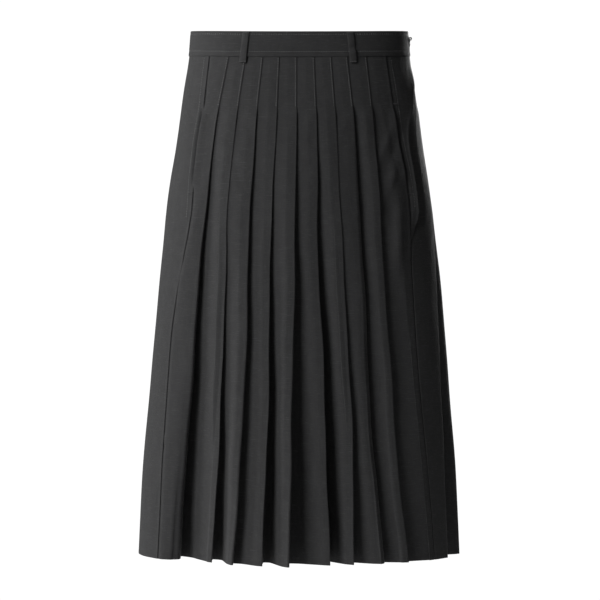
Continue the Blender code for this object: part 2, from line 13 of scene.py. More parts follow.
import bpy
import numpy as np
from bpy.props import FloatProperty, FloatVectorProperty, PointerProperty
from bpy.types import Operator, Panel, PropertyGroup
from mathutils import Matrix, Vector


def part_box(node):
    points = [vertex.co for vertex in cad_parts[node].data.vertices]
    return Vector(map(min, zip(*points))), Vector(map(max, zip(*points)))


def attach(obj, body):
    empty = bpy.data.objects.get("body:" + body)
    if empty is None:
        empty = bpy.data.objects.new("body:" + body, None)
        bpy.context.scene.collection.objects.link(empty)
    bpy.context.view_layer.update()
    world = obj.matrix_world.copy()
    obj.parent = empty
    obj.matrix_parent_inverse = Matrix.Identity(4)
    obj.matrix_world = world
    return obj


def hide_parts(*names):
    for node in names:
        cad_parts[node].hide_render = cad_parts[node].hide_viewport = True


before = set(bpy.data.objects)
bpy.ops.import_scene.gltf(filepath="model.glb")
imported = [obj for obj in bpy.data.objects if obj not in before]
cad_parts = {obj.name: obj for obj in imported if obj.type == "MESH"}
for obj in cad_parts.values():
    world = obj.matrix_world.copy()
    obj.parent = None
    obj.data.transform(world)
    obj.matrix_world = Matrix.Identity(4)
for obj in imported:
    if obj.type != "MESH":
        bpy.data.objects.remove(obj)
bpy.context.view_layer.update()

bl_info = {
    "name": "Pleated skirt",
    "version": (1, 0, 0),
    "blender": (4, 5, 0),
    "location": "3D View > Sidebar > Skirt",
    "description": "Cloth, sewing and studio for a pleated skirt",
    "category": "Object",
}

MM = 0.001
BODY = "skirt"

# ---------------------------------------------------------------- band and seams

BAND_TOP = 18.75
BAND_BOTTOM = -18.75
SEAM_GAP = 0.3
PLEAT_TOP = BAND_BOTTOM - SEAM_GAP   # the cloth shows from here down
BAND_TUCK = 1.0                      # and goes up into the band this far
ZIP_GAP = 2.0

# ---------------------------------------------------------------- the figure

# The waist tips forward: its height changes with the depth across the figure.
WAIST_SLOPE = 0.118
WAIST_DIP = 0.0003

# The figure's outline at each height, as a flattened ellipse.
LEVEL_COLUMNS = ("height", "half_width", "front_depth", "back_depth", "squareness")
LEVELS = (
    (18.75, 162.0, 92.0, 94.0, 2.20),
    (-18.75, 165.0, 95.0, 98.0, 2.20),
    (-70.0, 173.0, 101.0, 107.0, 2.20),
    (-115.0, 179.2, 105.0, 114.0, 2.15),
    (-160.0, 185.5, 109.0, 120.0, 2.10),
    (-205.0, 193.0, 113.0, 125.0, 2.08),
    (-250.0, 199.4, 116.0, 129.0, 2.05),
    (-295.0, 204.1, 119.0, 132.0, 2.02),
    (-385.0, 213.4, 124.0, 137.0, 1.97),
    (-520.0, 224.9, 131.0, 144.0, 1.91),
    (-640.0, 234.4, 137.0, 150.0, 1.87),
    (-762.75, 241.0, 142.0, 155.0, 1.85),
)

# Seams between the front and the back: their place across the front, as a share
# of the half width there.
SEAM_COLUMNS = ("height", "right_share", "left_share")
SIDE_SEAMS = (
    (18.75, -0.800, 0.996),
    (-18.75, -0.800, 0.996),
    (-90.0, -0.795, 0.937),
    (-127.0, -0.807, 0.870),
    (-150.0, -0.812, 0.858),
    (-195.0, -0.806, 0.866),
    (-245.0, -0.790, 0.866),
    (-281.0, -0.800, 0.825),
    (-300.0, -0.811, 0.790),
    (-446.0, -0.860, 0.775),
    (-762.75, -0.862, 0.816),
)

# The left pocket's slanted mouth: distance from the centre front at each height.
MOUTH_COLUMNS = ("height", "left")
LEFT_MOUTH = (
    (-19.0, 126.0),
    (-90.0, 136.0),
    (-150.0, 145.0),
    (-195.0, 154.0),
    (-245.0, 160.5),
    (-300.0, 162.5),
)
LEFT_MOUTH_END = -300.0
RIGHT_MOUTH_END = -245.0

# Soft unevenness of the whole figure: waves round it, waves per metre down, size.
RIPPLE_COLUMNS = ("round", "down", "size", "phase")
RIPPLES = (
    (3, 1.3, 0.45, 20.0),
    (5, -0.9, 0.40, 140.0),
    (8, 2.3, 0.30, 250.0),
    (13, -3.1, 0.22, 80.0),
    (19, 4.6, 0.16, 310.0),
    (31, -6.8, 0.10, 10.0),
    (43, 8.9, 0.07, 200.0),
)
RIPPLE_RISE = 120.0         # they grow from nothing at the band over this height

# Single soft creases: the side they are on, distance from the centre line and height
# of the middle, width and length, sideways run for each millimetre up, and rise.
CREASE_COLUMNS = ("back", "across", "height", "width", "length", "lean", "rise")
CREASES = (
    (False, 128.0, 4.0, 24.0, 15.0, 5.0, -1.9),
    (False, 120.0, -6.0, 24.0, 13.0, 5.0, 1.4),
    (False, -154.0, -42.0, 12.0, 24.0, -0.2, 1.0),
    (False, -140.0, -66.0, 6.0, 22.0, -0.3, -0.5),
    (False, -94.0, -196.0, 5.0, 13.0, -0.5, 1.1),
    (False, -86.0, -204.0, 5.0, 13.0, -0.5, -0.9),
    (False, 125.0, -150.0, 5.5, 26.0, 0.37, 1.9),
    (False, 136.0, -160.0, 6.0, 22.0, 0.34, -1.3),
    (False, 135.5, -199.0, 6.0, 22.0, 0.30, 2.1),
    (False, 131.0, -240.0, 9.0, 15.0, -0.3, -2.2),
    (False, 144.0, -292.0, 9.0, 50.0, 0.03, 4.0),
    (False, -60.0, -118.0, 6.0, 20.0, -0.4, 0.5),
    (False, 12.0, -121.0, 6.0, 18.0, 0.3, 0.5),
    (False, 66.0, -119.0, 6.0, 20.0, 0.4, 0.5),
    (False, -212.0, -575.0, 9.0, 14.0, -1.3, 0.8),
    (False, -206.0, -592.0, 9.0, 14.0, -1.3, -0.7),
    (False, -176.0, -330.0, 12.0, 60.0, -0.1, 1.2),
    (True, 128.0, -150.0, 7.0, 26.0, 0.35, 1.4),
    (True, 60.0, -128.0, 7.0, 22.0, 0.3, 0.8),
    (True, -40.0, -133.0, 7.0, 24.0, -0.3, 0.9),
    (True, -118.0, -168.0, 8.0, 28.0, -0.4, 1.4),
    (True, -95.0, 2.0, 10.0, 13.0, -2.4, -1.0),
)

OUTLINE_STEPS = 720         # points of the figure's outline at each height
TANGENT_REACH = 1.5         # its direction is read over this far to both sides

# ---------------------------------------------------------------- pleats

# Heights where a line of the front is measured: at the band, just below the
# stitching, at the hip, at half length, above the hem and at it.
STATIONS = (-19.0, -126.0, -273.0, -446.0, -594.0, -762.75)

# Front knife pleats, from the wearer's right to left.  The first six columns are
# the folded edge's distance from the centre front at the stations.  The others
# shape the pleat at the hem: how far its edge stands out from the outline, how
# deep the pleat opens, how far back under the edge its inner fold lies, how far
# past the edge its floor ends (or back under it, if that is negative) and how
# round the edge is; and how late it opens, as a power of the distance below the
# stitching.
PLEAT_COLUMNS = ("band", "release", "hip", "middle", "low", "hem",
                 "stand", "depth", "tuck", "floor", "roll", "opens")
FRONT_PLEATS = (
    (-103.0, -123.0, -139.5, -153.5, -166.0, -180.0, -9.0, 33.0, 24.0, 4.0, 8.0, 1.2),
    (-78.0, -93.0, -105.5, -109.5, -116.5, -126.5, -12.0, 30.0, 14.0, 3.0, 1.0, 2.6),
    (-53.0, -63.5, -72.0, -76.5, -83.0, -95.5, 4.0, 18.0, 7.0, 7.0, 2.5, 0.8),
    (-29.0, -33.5, -41.5, -43.0, -47.0, -53.0, 4.0, 38.0, 6.0, 5.0, 1.0, 1.6),
    (-4.0, -4.0, -6.5, -8.5, -11.5, -14.0, 12.0, 40.0, 6.0, 10.0, 2.5, 1.2),
    (21.5, 25.0, 26.0, 33.0, 38.5, 44.0, -5.0, 44.0, 6.0, 3.0, 1.0, 1.2),
    (46.0, 53.5, 60.0, 70.0, 76.0, 78.5, -4.0, 26.0, 5.0, 3.0, 1.0, 2.6),
    (69.5, 80.5, 90.5, 100.0, 109.5, 126.5, -2.0, 23.0, 22.0, -12.0, 10.0, 0.5),
    (97.5, 108.5, 119.0, 130.0, 140.0, 158.0, 0.0, 9.5, 4.0, 9.0, 1.0, 0.5),
)
BACK_PLEATS = 14
BACK_FIRST = (20.0, -2.0, -25.0, -43.0, -53.0, -58.0)
BACK_LAST = (55.0, 57.0, 59.5, 62.0, 65.0, 68.0)
BACK_SHAPE = (0.0, 30.0, 6.0, 12.0, 1.0, 0.9)

LAYER_PITCH = 0.5           # from layer to layer where a pleat is sewn flat
PLEAT_POP = 1.3             # below its stitches a folded edge springs out this far
POP_REACH = 45.0            # and comes back over about this height
POP_SPEED = 3.0             # it springs out this many times faster
STITCHED_TUCK = 12.0        # sewn flat, a pleat goes back under its edge this far
RISE_START = 0.5            # there the cloth rises to the next face this far past the edge
RISE_END = 1.5              # and is level this far before the next pleat's tuck
PLAIN_POWER = 0.85          # how fast the bends of plain cloth soften from the band down
CREST_LEAD = 10.0           # at the hem a face starts this far before its edge
CREST_DROP = 0.22           # and this far below it, as a share of the opening's depth
CREST_GAP = 3.0             # least length of the rise from the floor to there
LAST_RISE = 36.0            # the cloth past a panel's last pleat is level after this
EDGE_DROP = 0.8             # the edge's turn, as shares of its roundness: down
EDGE_BACK = 0.7             # and back under itself
FOLD_HIGH = 2.2             # the open inner fold's three points: its top above the floor
FOLD_MIDDLE = 0.9           # its middle above the floor
FOLD_ROUND = 0.3            # how far the middle bulges past the top
FOLD_FOOT = 1.0             # where the floor starts, past the fold
SEAM_STEPS = (3.0, 6.0, 10.0)                # columns of plain cloth beside a seam
PLAIN_PARTS = (1.0 / 3.0, 2.0 / 3.0)         # and on the way from there to the first edge
BEND_MOST = 0.45            # a bend takes up no more than this share of a side
MITRE_LEAST = 0.75          # a corner's wall grows no thicker than one over this
TINY = 1e-9

# How far along each side of a corner the cloth bends, stitched flat and at the hem,
# whether the bend is tight, and how far it is a pressed edge.
BEND_COLUMNS = ("corner", "flat", "hem", "tight", "pressed")
BENDS = (
    ("edge_top", 0.5, 1.6, False, 0.6),
    ("edge_side", 0.4, 0.8, False, 1.0),
    ("edge_under", 0.4, 1.2, False, 0.4),
    ("under_middle", 4.0, 12.0, False, 0.0),
    ("fold_top", 0.4, 1.0, True, 0.2),
    ("fold_side", 0.4, 0.8, True, 0.3),
    ("fold_foot", 0.4, 1.5, True, 0.2),
    ("rise_foot", 0.8, 9.0, False, 0.0),
    ("rise_middle", 2.0, 10.0, False, 0.0),
    ("crest", 1.0, 9.0, False, 0.0),
    ("face_middle", 4.0, 12.0, False, 0.0),
    ("plain", 0.5, 8.0, False, 0.0),
)
PLAIN_STEP = 12.0           # from column to column of plain cloth past the last pleat
ROLL_SOFTNESS = 0.7         # a rounder edge bends over this much more for each millimetre of roll
FACE_SWELL = 0.5            # a face stands this far out of flat at the hem
SWELL_CHANGE = 0.6          # more on some and less on others
SWELL_TURN = 2.3            # by the sine of this angle times the pleat's number
UNDER_SWELL = -0.7          # and the hidden layers this far in
BACK_UNEVEN = 3.0           # the back's openings differ by this much in depth
BACK_OFFSET = 9             # the back's edges wander on from the front's nine

WANDER = 0.8                # a free folded edge wanders this far sideways
WANDER_LONG = 290.0         # in two waves of these lengths down the edge
WANDER_SHORT = 131.0
WANDER_STEP = 0.37          # out of step by this share of a wave from edge to edge
WANDER_RISE = 160.0         # they grow over this height below the stitching
WANDER_END = 200.0          # and fade over this one above the hem
WANDER_HEM = 0.4            # but stop with this share of the fading left

# Borders: sunk where they are sewn together, standing off where a pocket opens.
SEAM_WIDTH = 4.5
SEAM_SINK = 0.9
SEAM_LAP = 2.5              # under the other's edge a panel goes on this far
LAP_WIDTH = 6.0             # the back's border beside the zip and along the right seam
LAP_RISE = 0.6              # where it laps over the front
GROOVE_DEPTH = 2.0          # the left seam shows as a narrow groove
GROOVE_LEVEL = 3.5          # level from the back's border this far
GROOVE_WIDTH = 4.8
MOUTH_TOP = -89.0           # a mouth's free edge: from here down
RIGHT_MOUTH_FREE = -218.0   # to one of these
LEFT_MOUTH_FREE = -212.0
MOUTH_FADE = 22.0
MOUTH_WIDTH = 14.0          # the front stands off over this width
RIGHT_MOUTH_STAND = 1.8
LEFT_MOUTH_STAND = 2.3
LEFT_MOUTH_FLAT = 0.5       # and this far all along the left mouth
RIGHT_MOUTH_SINK = 2.8      # the back sinks beside the right mouth
RIGHT_SINK_WIDTH = 7.5
VALLEY_TOP = -26.0          # beside the zip the back panel falls in between these heights
VALLEY_FOOT = -285.0
VALLEY_WIDTH = 24.0
VALLEY_DEPTH = 4.4
VALLEY_FADE = 40.0

# Walls: rows and columns, and how a wall's rim is rounded.
ROWS_CHANGE = -300.0
FRONT_ROW_STEPS = (4.5, 7.0)
BACK_ROW_STEPS = (5.0, 8.0)
POCKET_ROW_STEP = 4.0
BAND_ROW_STEP = 1.1
BAND_COLUMNS = 211
RIM = 0.5                   # the wall is thinner over this last stretch
RIM_LEAST = 0.45            # down to this share
RIM_STEPS = (0.12, 0.45)    # more rows and columns this far from its ends

# Flat cuts: the widths that the cloth measures before it is pleated.
FRONT_FLAT = 910.0
BACK_FLAT = 1376.0
LEFT_POCKET_FLAT = 110.0
RIGHT_POCKET_FLAT = 84.0

# ---------------------------------------------------------------- small parts

LOOP_NAMES = ("name", "top", "bottom", "turned")
LOOPS = (
    ("belt_loop_front_right", -77.0, -82.0, False),
    ("belt_loop_front_left", 73.0, 78.0, False),
    ("belt_loop_back_left", -75.0, -78.0, True),
    ("belt_loop_back_right", 75.0, 78.0, True),
)
LOOP_TOP = 18.55
LOOP_BOTTOM = -27.5
LOOP_REST = 1.8             # its middle surface from the band's, at both ends
LOOP_ARCH = 1.2             # and how much further out its middle is
LOOP_CROWN = 0.45           # its outer face is this much rounder than flat
LOOP_COLUMNS = 9
LOOP_ROW_STEP = 2.0
LOOP_SHINE = 0.06

BAND_ROWS = (14.25, -11.0)  # heights of the band's two rows of stitches
BAND_PUFF = 0.25            # the band is this much fuller between its edges
BAND_PUFF_RISE = 4.0
ROW_SINK = 0.35             # and sunk this far along its stitches
ROW_WIDTH = 1.3
ROW_INSET = 3.0             # which start this far from the zip

POCKET_FOOT = 1.0           # the left pocket ends this far above its mouth's end
POCKET_DROP = 1.7           # a pocket lies this far under the front at its mouth
MOUTH_DEPTH = 2.4           # the side piece lies this much deeper along the open mouth
SIDE_RISE = ((0.0, 5.0), (0.08, 4.8), (0.2, 3.2), (0.35, 2.4), (0.6, 1.2))     # share of width, rise
POCKET_STEP = 6.0           # the side piece steps down to the mouth over this width
POCKET_EASE = 0.3           # or over this share of the side piece, where that is narrower
POCKET_LIP = 0.5            # the step ends this far before the mouth
POCKET_TUCK = 3.0           # how far a bag runs just under the front before it drops
POCKET_BEND = 1.2           # how far its corners bend
BAG_STEP = 2.5              # the width of that drop
BAG_REACH = 62.0            # how far a bag reaches from its mouth
BAG_LAP = 7.0               # the right bag's lap behind the back panel
BAG_DROP = 6.0              # how far a bag hangs inside the outline, at the band
BAG_SLOPE = 0.055           # and how much more for each millimetre down
MOUTH_ROW = 7.4             # the mouth's row of stitches, seen from the front
MOUTH_TAIL = 12             # columns of plain cloth that it may lie on
LEFT_ROW_END = -243.0
RIGHT_ROW_END = -256.0
MOUTH_TACKS = (-89.0, -222.0)                # heights of the tacks at the mouths' ends
LEFT_TACK_REACH = 9.0       # the left one's upper tack is this long

# Thread: length, width and height of a stitch, and how high it rests on the cloth.
THREAD_SIZE = (1.5, 0.9, 0.5)
THREAD_REST = 0.04
EDGE_ROW_TOP = 2.4          # a pleat's row starts this far below the band
EDGE_ROW_INSET = 1.8        # and runs this far from the folded edge
TACK_SIZE = (2.2, 0.5, 0.35)
TACK_PITCH = 0.55
TACK_INSET = 0.6
TACK_RISE = 1.6             # a loop's tacks lie this far from its ends
TACK_THREAD = ("tack_thread", "slub")
CAPSULE_RINGS = ((-0.38, 0.75), (-0.16, 1.0), (0.16, 1.0), (0.38, 0.75))       # place, width
CAPSULE_SIDES = 6

TAPE_TOP = 1.5
TAPE_WIDTH = 22.0
TAPE_WALL = 1.0
TAPE_OUT = -1.9             # how far the tape lies out from the outline
TAPE_COLUMNS = 13
TAPE_ROW_STEP = 4.0
TAPE_BAND = 0.0021          # its bands' width and their ribs' pitch in metres, as the cloth's map
TAPE_PITCH = 0.0011
COIL_SIZE = (2.3, 0.75, 0.9)
COIL_PITCH = 1.1
COIL_INSET = 1.2
COIL_MEET = 0.44            # a tooth's middle from the zip's, as a share of its length

# ---------------------------------------------------------------- finishes and studio

CLOTH_MAP = "Cloth"
PRESSED = "pressed"
SLUB_REPEATS = (105.0, 1050.0, 1.0)         # repeats a metre across and down the cloth
LONG_SLUB_REPEATS = (38.0, 800.0, 1.0)
STREAK_REPEATS = (1100.0, 45.0, 1.0)
MOTTLING_REPEATS = (70.0, 60.0, 1.0)
SLUB_SPAN = (0.58, 0.70)                    # noise values that turn into a slub
LONG_SLUB_SPAN = (0.62, 0.72, 0.0, 0.9)
STREAK_SPAN = (0.42, 0.62, 0.0, 0.07)
SOFT_SPAN = (0.3, 0.7)                      # noise values from the darkest to the lightest
WEAVE_UPPER = 0.62
WEAVE_LOWER = 0.38
WEAVE_RISE = 0.00012
SLUB_RISE = 0.00016
MOTTLING_RISE = 0.00012
# how far a pressed edge's colour is painted towards the slub colour: painted sheen on the pressed edges
PRESSED_PAINTED_SHEEN = 0.05
PRESSED_SHINE = 0.14
METAL_FINISH = (0.35, 0.40, 0.52)           # metallic value, least and most roughness
NYLON_FINISH = (0.0, 0.34, 0.46)

# Lights in metres: where each stands, how wide its square face is, and its setting.
LIGHT_COLUMNS = ("name", "place", "size", "power")
LIGHTS = (
    ("key_light", (-2.6, -2.4, 1.15), 1.9, "key_power"),
    ("side_light", (-3.4, 0.45, 0.9), 1.6, "side_power"),
    ("fill_light", (2.6, -1.8, 0.4), 2.2, "fill_power"),
    ("back_light", (1.4, 2.7, 1.0), 1.6, "rim_power"),
)
SENSOR_WIDTH = 36.0
WHITE = (1.0, 1.0, 1.0, 1.0)
FLOOR_TONES = ((0.80, 0.80, 0.80, 1.0), (0.86, 0.86, 0.86, 1.0))
FLOOR_RADIUS = 3.0
FLOOR_RINGS = 25
FLOOR_SIDES = 72
FLOOR_CLEAR = (0.55, 1.7)   # it fades out between these distances from its middle


def column(table, names, name):
    """One named column of a table, as an array."""
    return np.array([row[names.index(name)] for row in table], dtype=float)


def smooth_curve(knots, values, at):
    """A smooth curve through values at rising knots, read at places.

    Between two knots it is the cubic with their values and slopes.  A knot's slope
    is the harmonic mean of the straight slopes on both sides, or zero where those
    differ in sign, so the curve never swings past the values.
    """
    straight = np.diff(values) / np.diff(knots)
    both = straight[:-1] * straight[1:]
    total = straight[:-1] + straight[1:]
    inner = np.where(both > 0.0, 2.0 * both / np.where(both > 0.0, total, 1.0), 0.0)
    slopes = np.concatenate([straight[:1], inner, straight[-1:]])
    at = np.clip(at, knots[0], knots[-1])
    index = np.clip(np.searchsorted(knots, at, side="right") - 1, 0, len(knots) - 2)
    span = knots[index + 1] - knots[index]
    t = (at - knots[index]) / span
    start = (1.0 + 2.0 * t) * (1.0 - t) ** 2
    end = t * t * (3.0 - 2.0 * t)
    leave = t * (1.0 - t) ** 2 * span
    arrive = t * t * (t - 1.0) * span
    return (start * values[index] + end * values[index + 1]
            + leave * slopes[index] + arrive * slopes[index + 1])


def smooth_table(table, names, name, heights):
    """A column of a table, listed from the top down, read at heights by a smooth curve."""
    return smooth_curve(-column(table, names, "height"), column(table, names, name), -heights)


def smooth_line(values, heights):
    """A line's place at heights, by a smooth curve through its stations."""
    return smooth_curve(-np.array(STATIONS), np.array(values, float), -heights)


def ease(value):
    """0 below 0, 1 above 1, and a smooth step between them."""
    t = np.clip(value, 0.0, 1.0)
    return t * t * (3.0 - 2.0 * t)


def mix(first, second, share):
    """Part of the way from the first to the second."""
    return first + (second - first) * share


class Figure:
    """The figure's plan curve at each of a column of heights.

    At one height the curve is a superellipse: x is half_width * |sin a|^p and y is
    depth * |cos a|^p, each with its sign, for a from -180 to 180 degrees, where p is
    2 / squareness.  Distances along it start at the centre front and grow towards
    +X, round the back and on.
    """

    def __init__(self, heights, sizes):
        self.heights = np.asarray(heights, float)
        self.top = sizes.band_top / MM
        self.hem = sizes.hem / MM

        def level(name):
            return smooth_table(LEVELS, LEVEL_COLUMNS, name, self.heights)[:, None]

        turn = np.linspace(-math.pi, math.pi, OUTLINE_STEPS + 1)
        across, along = np.sin(turn), -np.cos(turn)
        depth = np.where(along < 0.0, level("front_depth"), level("back_depth"))
        power = 2.0 / level("squareness")
        self.half_width = level("half_width")[:, 0]
        self.x = level("half_width") * np.sign(across) * np.abs(across) ** power
        self.y = depth * np.sign(along) * np.abs(along) ** power
        steps = np.hypot(np.diff(self.x, axis=1), np.diff(self.y, axis=1))
        run = np.concatenate([np.zeros((len(self.heights), 1)), np.cumsum(steps, axis=1)], axis=1)
        self.length = run[:, -1]
        self.distance = run - self.length[:, None] / 2.0
        quarter = OUTLINE_STEPS // 4
        self.left_side = self.distance[:, 3 * quarter]
        self.right_side = self.distance[:, quarter] + self.length
        self.creases = [self.crease(**dict(zip(CREASE_COLUMNS, row))) for row in CREASES]

    def crease(self, back, across, height, width, length, lean, rise):
        """A crease's place along the curve and its rise at each height, and its width.

        Its rise falls off as exp(-(d / length)^2) with the distance d from its middle height.
        """
        away = self.heights - height
        place = across + lean * away
        centre = self.back_distance(place) if back else self.front_distance(place)
        return centre[:, None], rise * np.exp(-(away / length) ** 2)[:, None], width

    def below(self, stitched):
        """Share of the way from the end of the stitching down to the hem, at each height."""
        return np.clip((stitched - self.heights) / (stitched - self.hem), 0.0, 1.0)

    def front_distance(self, across):
        """Distances along the curve of points of the front, one at each height, from their x."""
        quarter = OUTLINE_STEPS // 4
        front = slice(quarter, 3 * quarter + 1)
        across = np.broadcast_to(across, self.heights.shape)
        return np.array([np.interp(a, x[front], d[front])
                         for a, x, d in zip(across, self.x, self.distance)])

    def back_distance(self, across):
        """Distances along the curve of points of the back, one at each height, from their x."""
        quarter = OUTLINE_STEPS // 4
        across = np.broadcast_to(across, self.heights.shape)
        left, right = slice(3 * quarter, None), slice(0, quarter + 1)
        on_left = [np.interp(-a, -x[left], d[left]) for a, x, d in zip(across, self.x, self.distance)]
        on_right = [np.interp(-a, -x[right], d[right]) for a, x, d in zip(across, self.x, self.distance)]
        return np.where(across >= 0.0, on_left, np.array(on_right) + self.length)

    def seams(self):
        """Distances along the curve of the right and the left side seam at each height."""
        right = smooth_table(SIDE_SEAMS, SEAM_COLUMNS, "right_share", self.heights)
        left = smooth_table(SIDE_SEAMS, SEAM_COLUMNS, "left_share", self.heights)
        return self.front_distance(right * self.half_width), self.front_distance(left * self.half_width)

    def mouth(self):
        """Distances along the curve of the left pocket's mouth, which runs into the seam."""
        place = self.front_distance(smooth_table(LEFT_MOUTH, MOUTH_COLUMNS, "left", self.heights))
        return np.where(self.heights > LEFT_MOUTH_END, place, self.seams()[1])

    def ripple(self, along):
        """How far the figure stands out of smooth: a sum of waves round and down it, and the creases.

        A crease falls off as exp(-(d / width)^2) with the distance d from its line.
        """
        share = along / self.length[:, None]
        down = -self.heights[:, None] * MM
        total = np.zeros(along.shape)
        for row in RIPPLES:
            wave = dict(zip(RIPPLE_COLUMNS, row))
            angle = 2.0 * math.pi * (wave["round"] * share + wave["down"] * down)
            total = total + wave["size"] * np.sin(angle + math.radians(wave["phase"]))
        total = total * ease(down / (RIPPLE_RISE * MM))
        for centre, rise, width in self.creases:
            total = total + rise * np.exp(-((along - centre) / width) ** 2)
        return total

    def read(self, along):
        """Plan points on the curve, one row of them at each height."""
        wrapped = (along + self.length[:, None] / 2.0) % self.length[:, None] - self.length[:, None] / 2.0
        x = np.stack([np.interp(a, d, v) for a, d, v in zip(wrapped, self.distance, self.x)])
        y = np.stack([np.interp(a, d, v) for a, d, v in zip(wrapped, self.distance, self.y)])
        return np.stack([x, y], axis=-1)

    def plan(self, along, out):
        """Plan points at distances along the curve, moved out from it, ripples included."""
        run = self.read(along + TANGENT_REACH) - self.read(along - TANGENT_REACH)
        run = run / np.linalg.norm(run, axis=-1, keepdims=True)
        side = np.stack([run[..., 1], -run[..., 0]], axis=-1)
        return self.read(along) + side * (out + self.ripple(along))[..., None]

    def lift(self, plan, y):
        """Points in space: height plus the waist's tilt at depth y, which fades to none at the hem."""
        height = self.heights[:, None]
        share = np.clip((height - self.hem) / (self.top - self.hem), 0.0, 1.0)
        z = height + share * (WAIST_SLOPE * y - WAIST_DIP * y * y)
        return np.concatenate([plan, z[..., None]], axis=-1)

    def place(self, along, out):
        """Points in space at distances along and out."""
        plan = self.plan(along, out)
        return self.lift(plan, plan[..., 1])


def offset_plan(line, amount):
    """Plan lines moved sideways by an amount for each point, with corners mitred."""
    run = np.diff(line, axis=1)
    run = run / np.maximum(np.linalg.norm(run, axis=-1, keepdims=True), TINY)
    side = np.stack([run[..., 1], -run[..., 0]], axis=-1)
    before = np.concatenate([side[:, :1], side], axis=1)
    after = np.concatenate([side, side[:, -1:]], axis=1)
    middle = before + after
    middle = middle / np.maximum(np.linalg.norm(middle, axis=-1, keepdims=True), TINY)
    stretch = 1.0 / np.clip(np.sum(middle * before, axis=-1), MITRE_LEAST, 1.0)
    return line + middle * (amount * stretch)[..., None]


# ---------------------------------------------------------------- sections of cloth

def rounded(points, bends, tight):
    """Lines with their corners bent softly.

    points is rows of (distance along, distance out) corners, and bends how far each
    corner's bend reaches along both its sides.  A bend starts and ends on the sides,
    and passes halfway between their middle and the corner.  A tight corner is so
    small that its two ends are enough.  Gives the new rows, and for each of their
    points the corner that it came from.
    """
    before = points[:, :-2] - points[:, 1:-1]
    after = points[:, 2:] - points[:, 1:-1]
    corner = points[:, 1:-1]

    def toward(side):
        size = np.linalg.norm(side, axis=-1)
        reach = np.minimum(bends[:, 1:-1], BEND_MOST * size) / np.maximum(size, TINY)
        return corner + side * reach[..., None]

    first, last = toward(before), toward(after)
    middle = 0.25 * first + 0.5 * corner + 0.25 * last
    count = corner.shape[1]
    keep = np.ones((count, 3), bool)
    keep[np.asarray(tight)[1:-1], 1] = False
    bent = np.stack([first, middle, last], axis=2).reshape(len(points), 3 * count, 2)[:, keep.ravel()]
    source = np.repeat(np.arange(1, count + 1), 3)[keep.ravel()]
    source = np.concatenate([[0], source, [count + 1]])
    return np.concatenate([points[:, :1], bent, points[:, -1:]], axis=1), source


def running_length(lines):
    """Each line's length from its start to each of its points."""
    steps = np.linalg.norm(np.diff(lines, axis=1), axis=-1)
    return np.concatenate([np.zeros((len(lines), 1)), np.cumsum(steps, axis=1)], axis=1)


def edge_pop(heights, stitched):
    """How far a freed edge springs out: quickly more below its stitches, and slowly less again."""
    down = np.clip(stitched - heights, 0.0, None) / POP_REACH
    return ease(POP_SPEED * down) * np.exp(-down * down)


def pleat_corners(edge, next_edge, stand, next_stand, last, share, shape, swell):
    """Corners of one pleat's section, from its folded edge to the next pleat's face.

    All are arrays over the heights.  The edge turns under, the cloth runs back to
    the inner fold, turns again, crosses the floor and rises to the next face.
    share is 0 where the pleat is sewn flat and 1 where it is fully open.
    Gives (corner name, distance along, distance out).
    """
    half = LAYER_PITCH / 2.0
    turn = mix(half, shape["roll"], share)
    floor_out = mix(-2.0 * LAYER_PITCH, shape["stand"] - shape["depth"], share)
    under_out = stand - mix(LAYER_PITCH, 2.0 * shape["roll"], share)
    tuck = mix(STITCHED_TUCK, shape["tuck"], share)
    fold_top = mix(-LAYER_PITCH, floor_out + FOLD_HIGH, share)
    fold_middle = mix(-1.5 * LAYER_PITCH, floor_out + FOLD_MIDDLE, share)
    rise_start = edge + mix(RISE_START, shape["floor"], share)
    if last:
        crest = rise_start + mix(STITCHED_TUCK - RISE_START, LAST_RISE, share)
    else:
        crest = next_edge - mix(STITCHED_TUCK + RISE_END, CREST_LEAD + shape["next_roll"], share)
    crest = np.maximum(crest, rise_start + CREST_GAP)
    drop = 0.0 if last else CREST_DROP
    crest_out = next_stand + share * drop * (floor_out - next_stand)
    under = edge - mix(half, EDGE_BACK * turn, share)
    fold = edge - tuck + mix(half, FOLD_ROUND, share)
    corners = [
        ("edge_top", edge - turn, stand),
        ("edge_side", edge, stand - mix(half, EDGE_DROP * turn, share)),
        ("edge_under", under, under_out),
        ("under_middle", (under + fold) / 2.0 + UNDER_SWELL * share, (under_out + fold_top) / 2.0),
        ("fold_top", fold, fold_top),
        ("fold_side", edge - tuck - mix(0.0, FOLD_ROUND, share), fold_middle),
        ("fold_foot", edge - tuck + mix(half, FOLD_FOOT, share), floor_out),
        ("rise_foot", rise_start, floor_out),
        ("rise_middle", (rise_start + crest) / 2.0, (floor_out + crest_out) / 2.0 + UNDER_SWELL * share),
        ("crest", crest, crest_out),
    ]
    if not last:
        middle = (crest + next_edge - turn) / 2.0
        corners.append(("face_middle", middle, (crest_out + next_stand) / 2.0 + swell * share))
    return corners


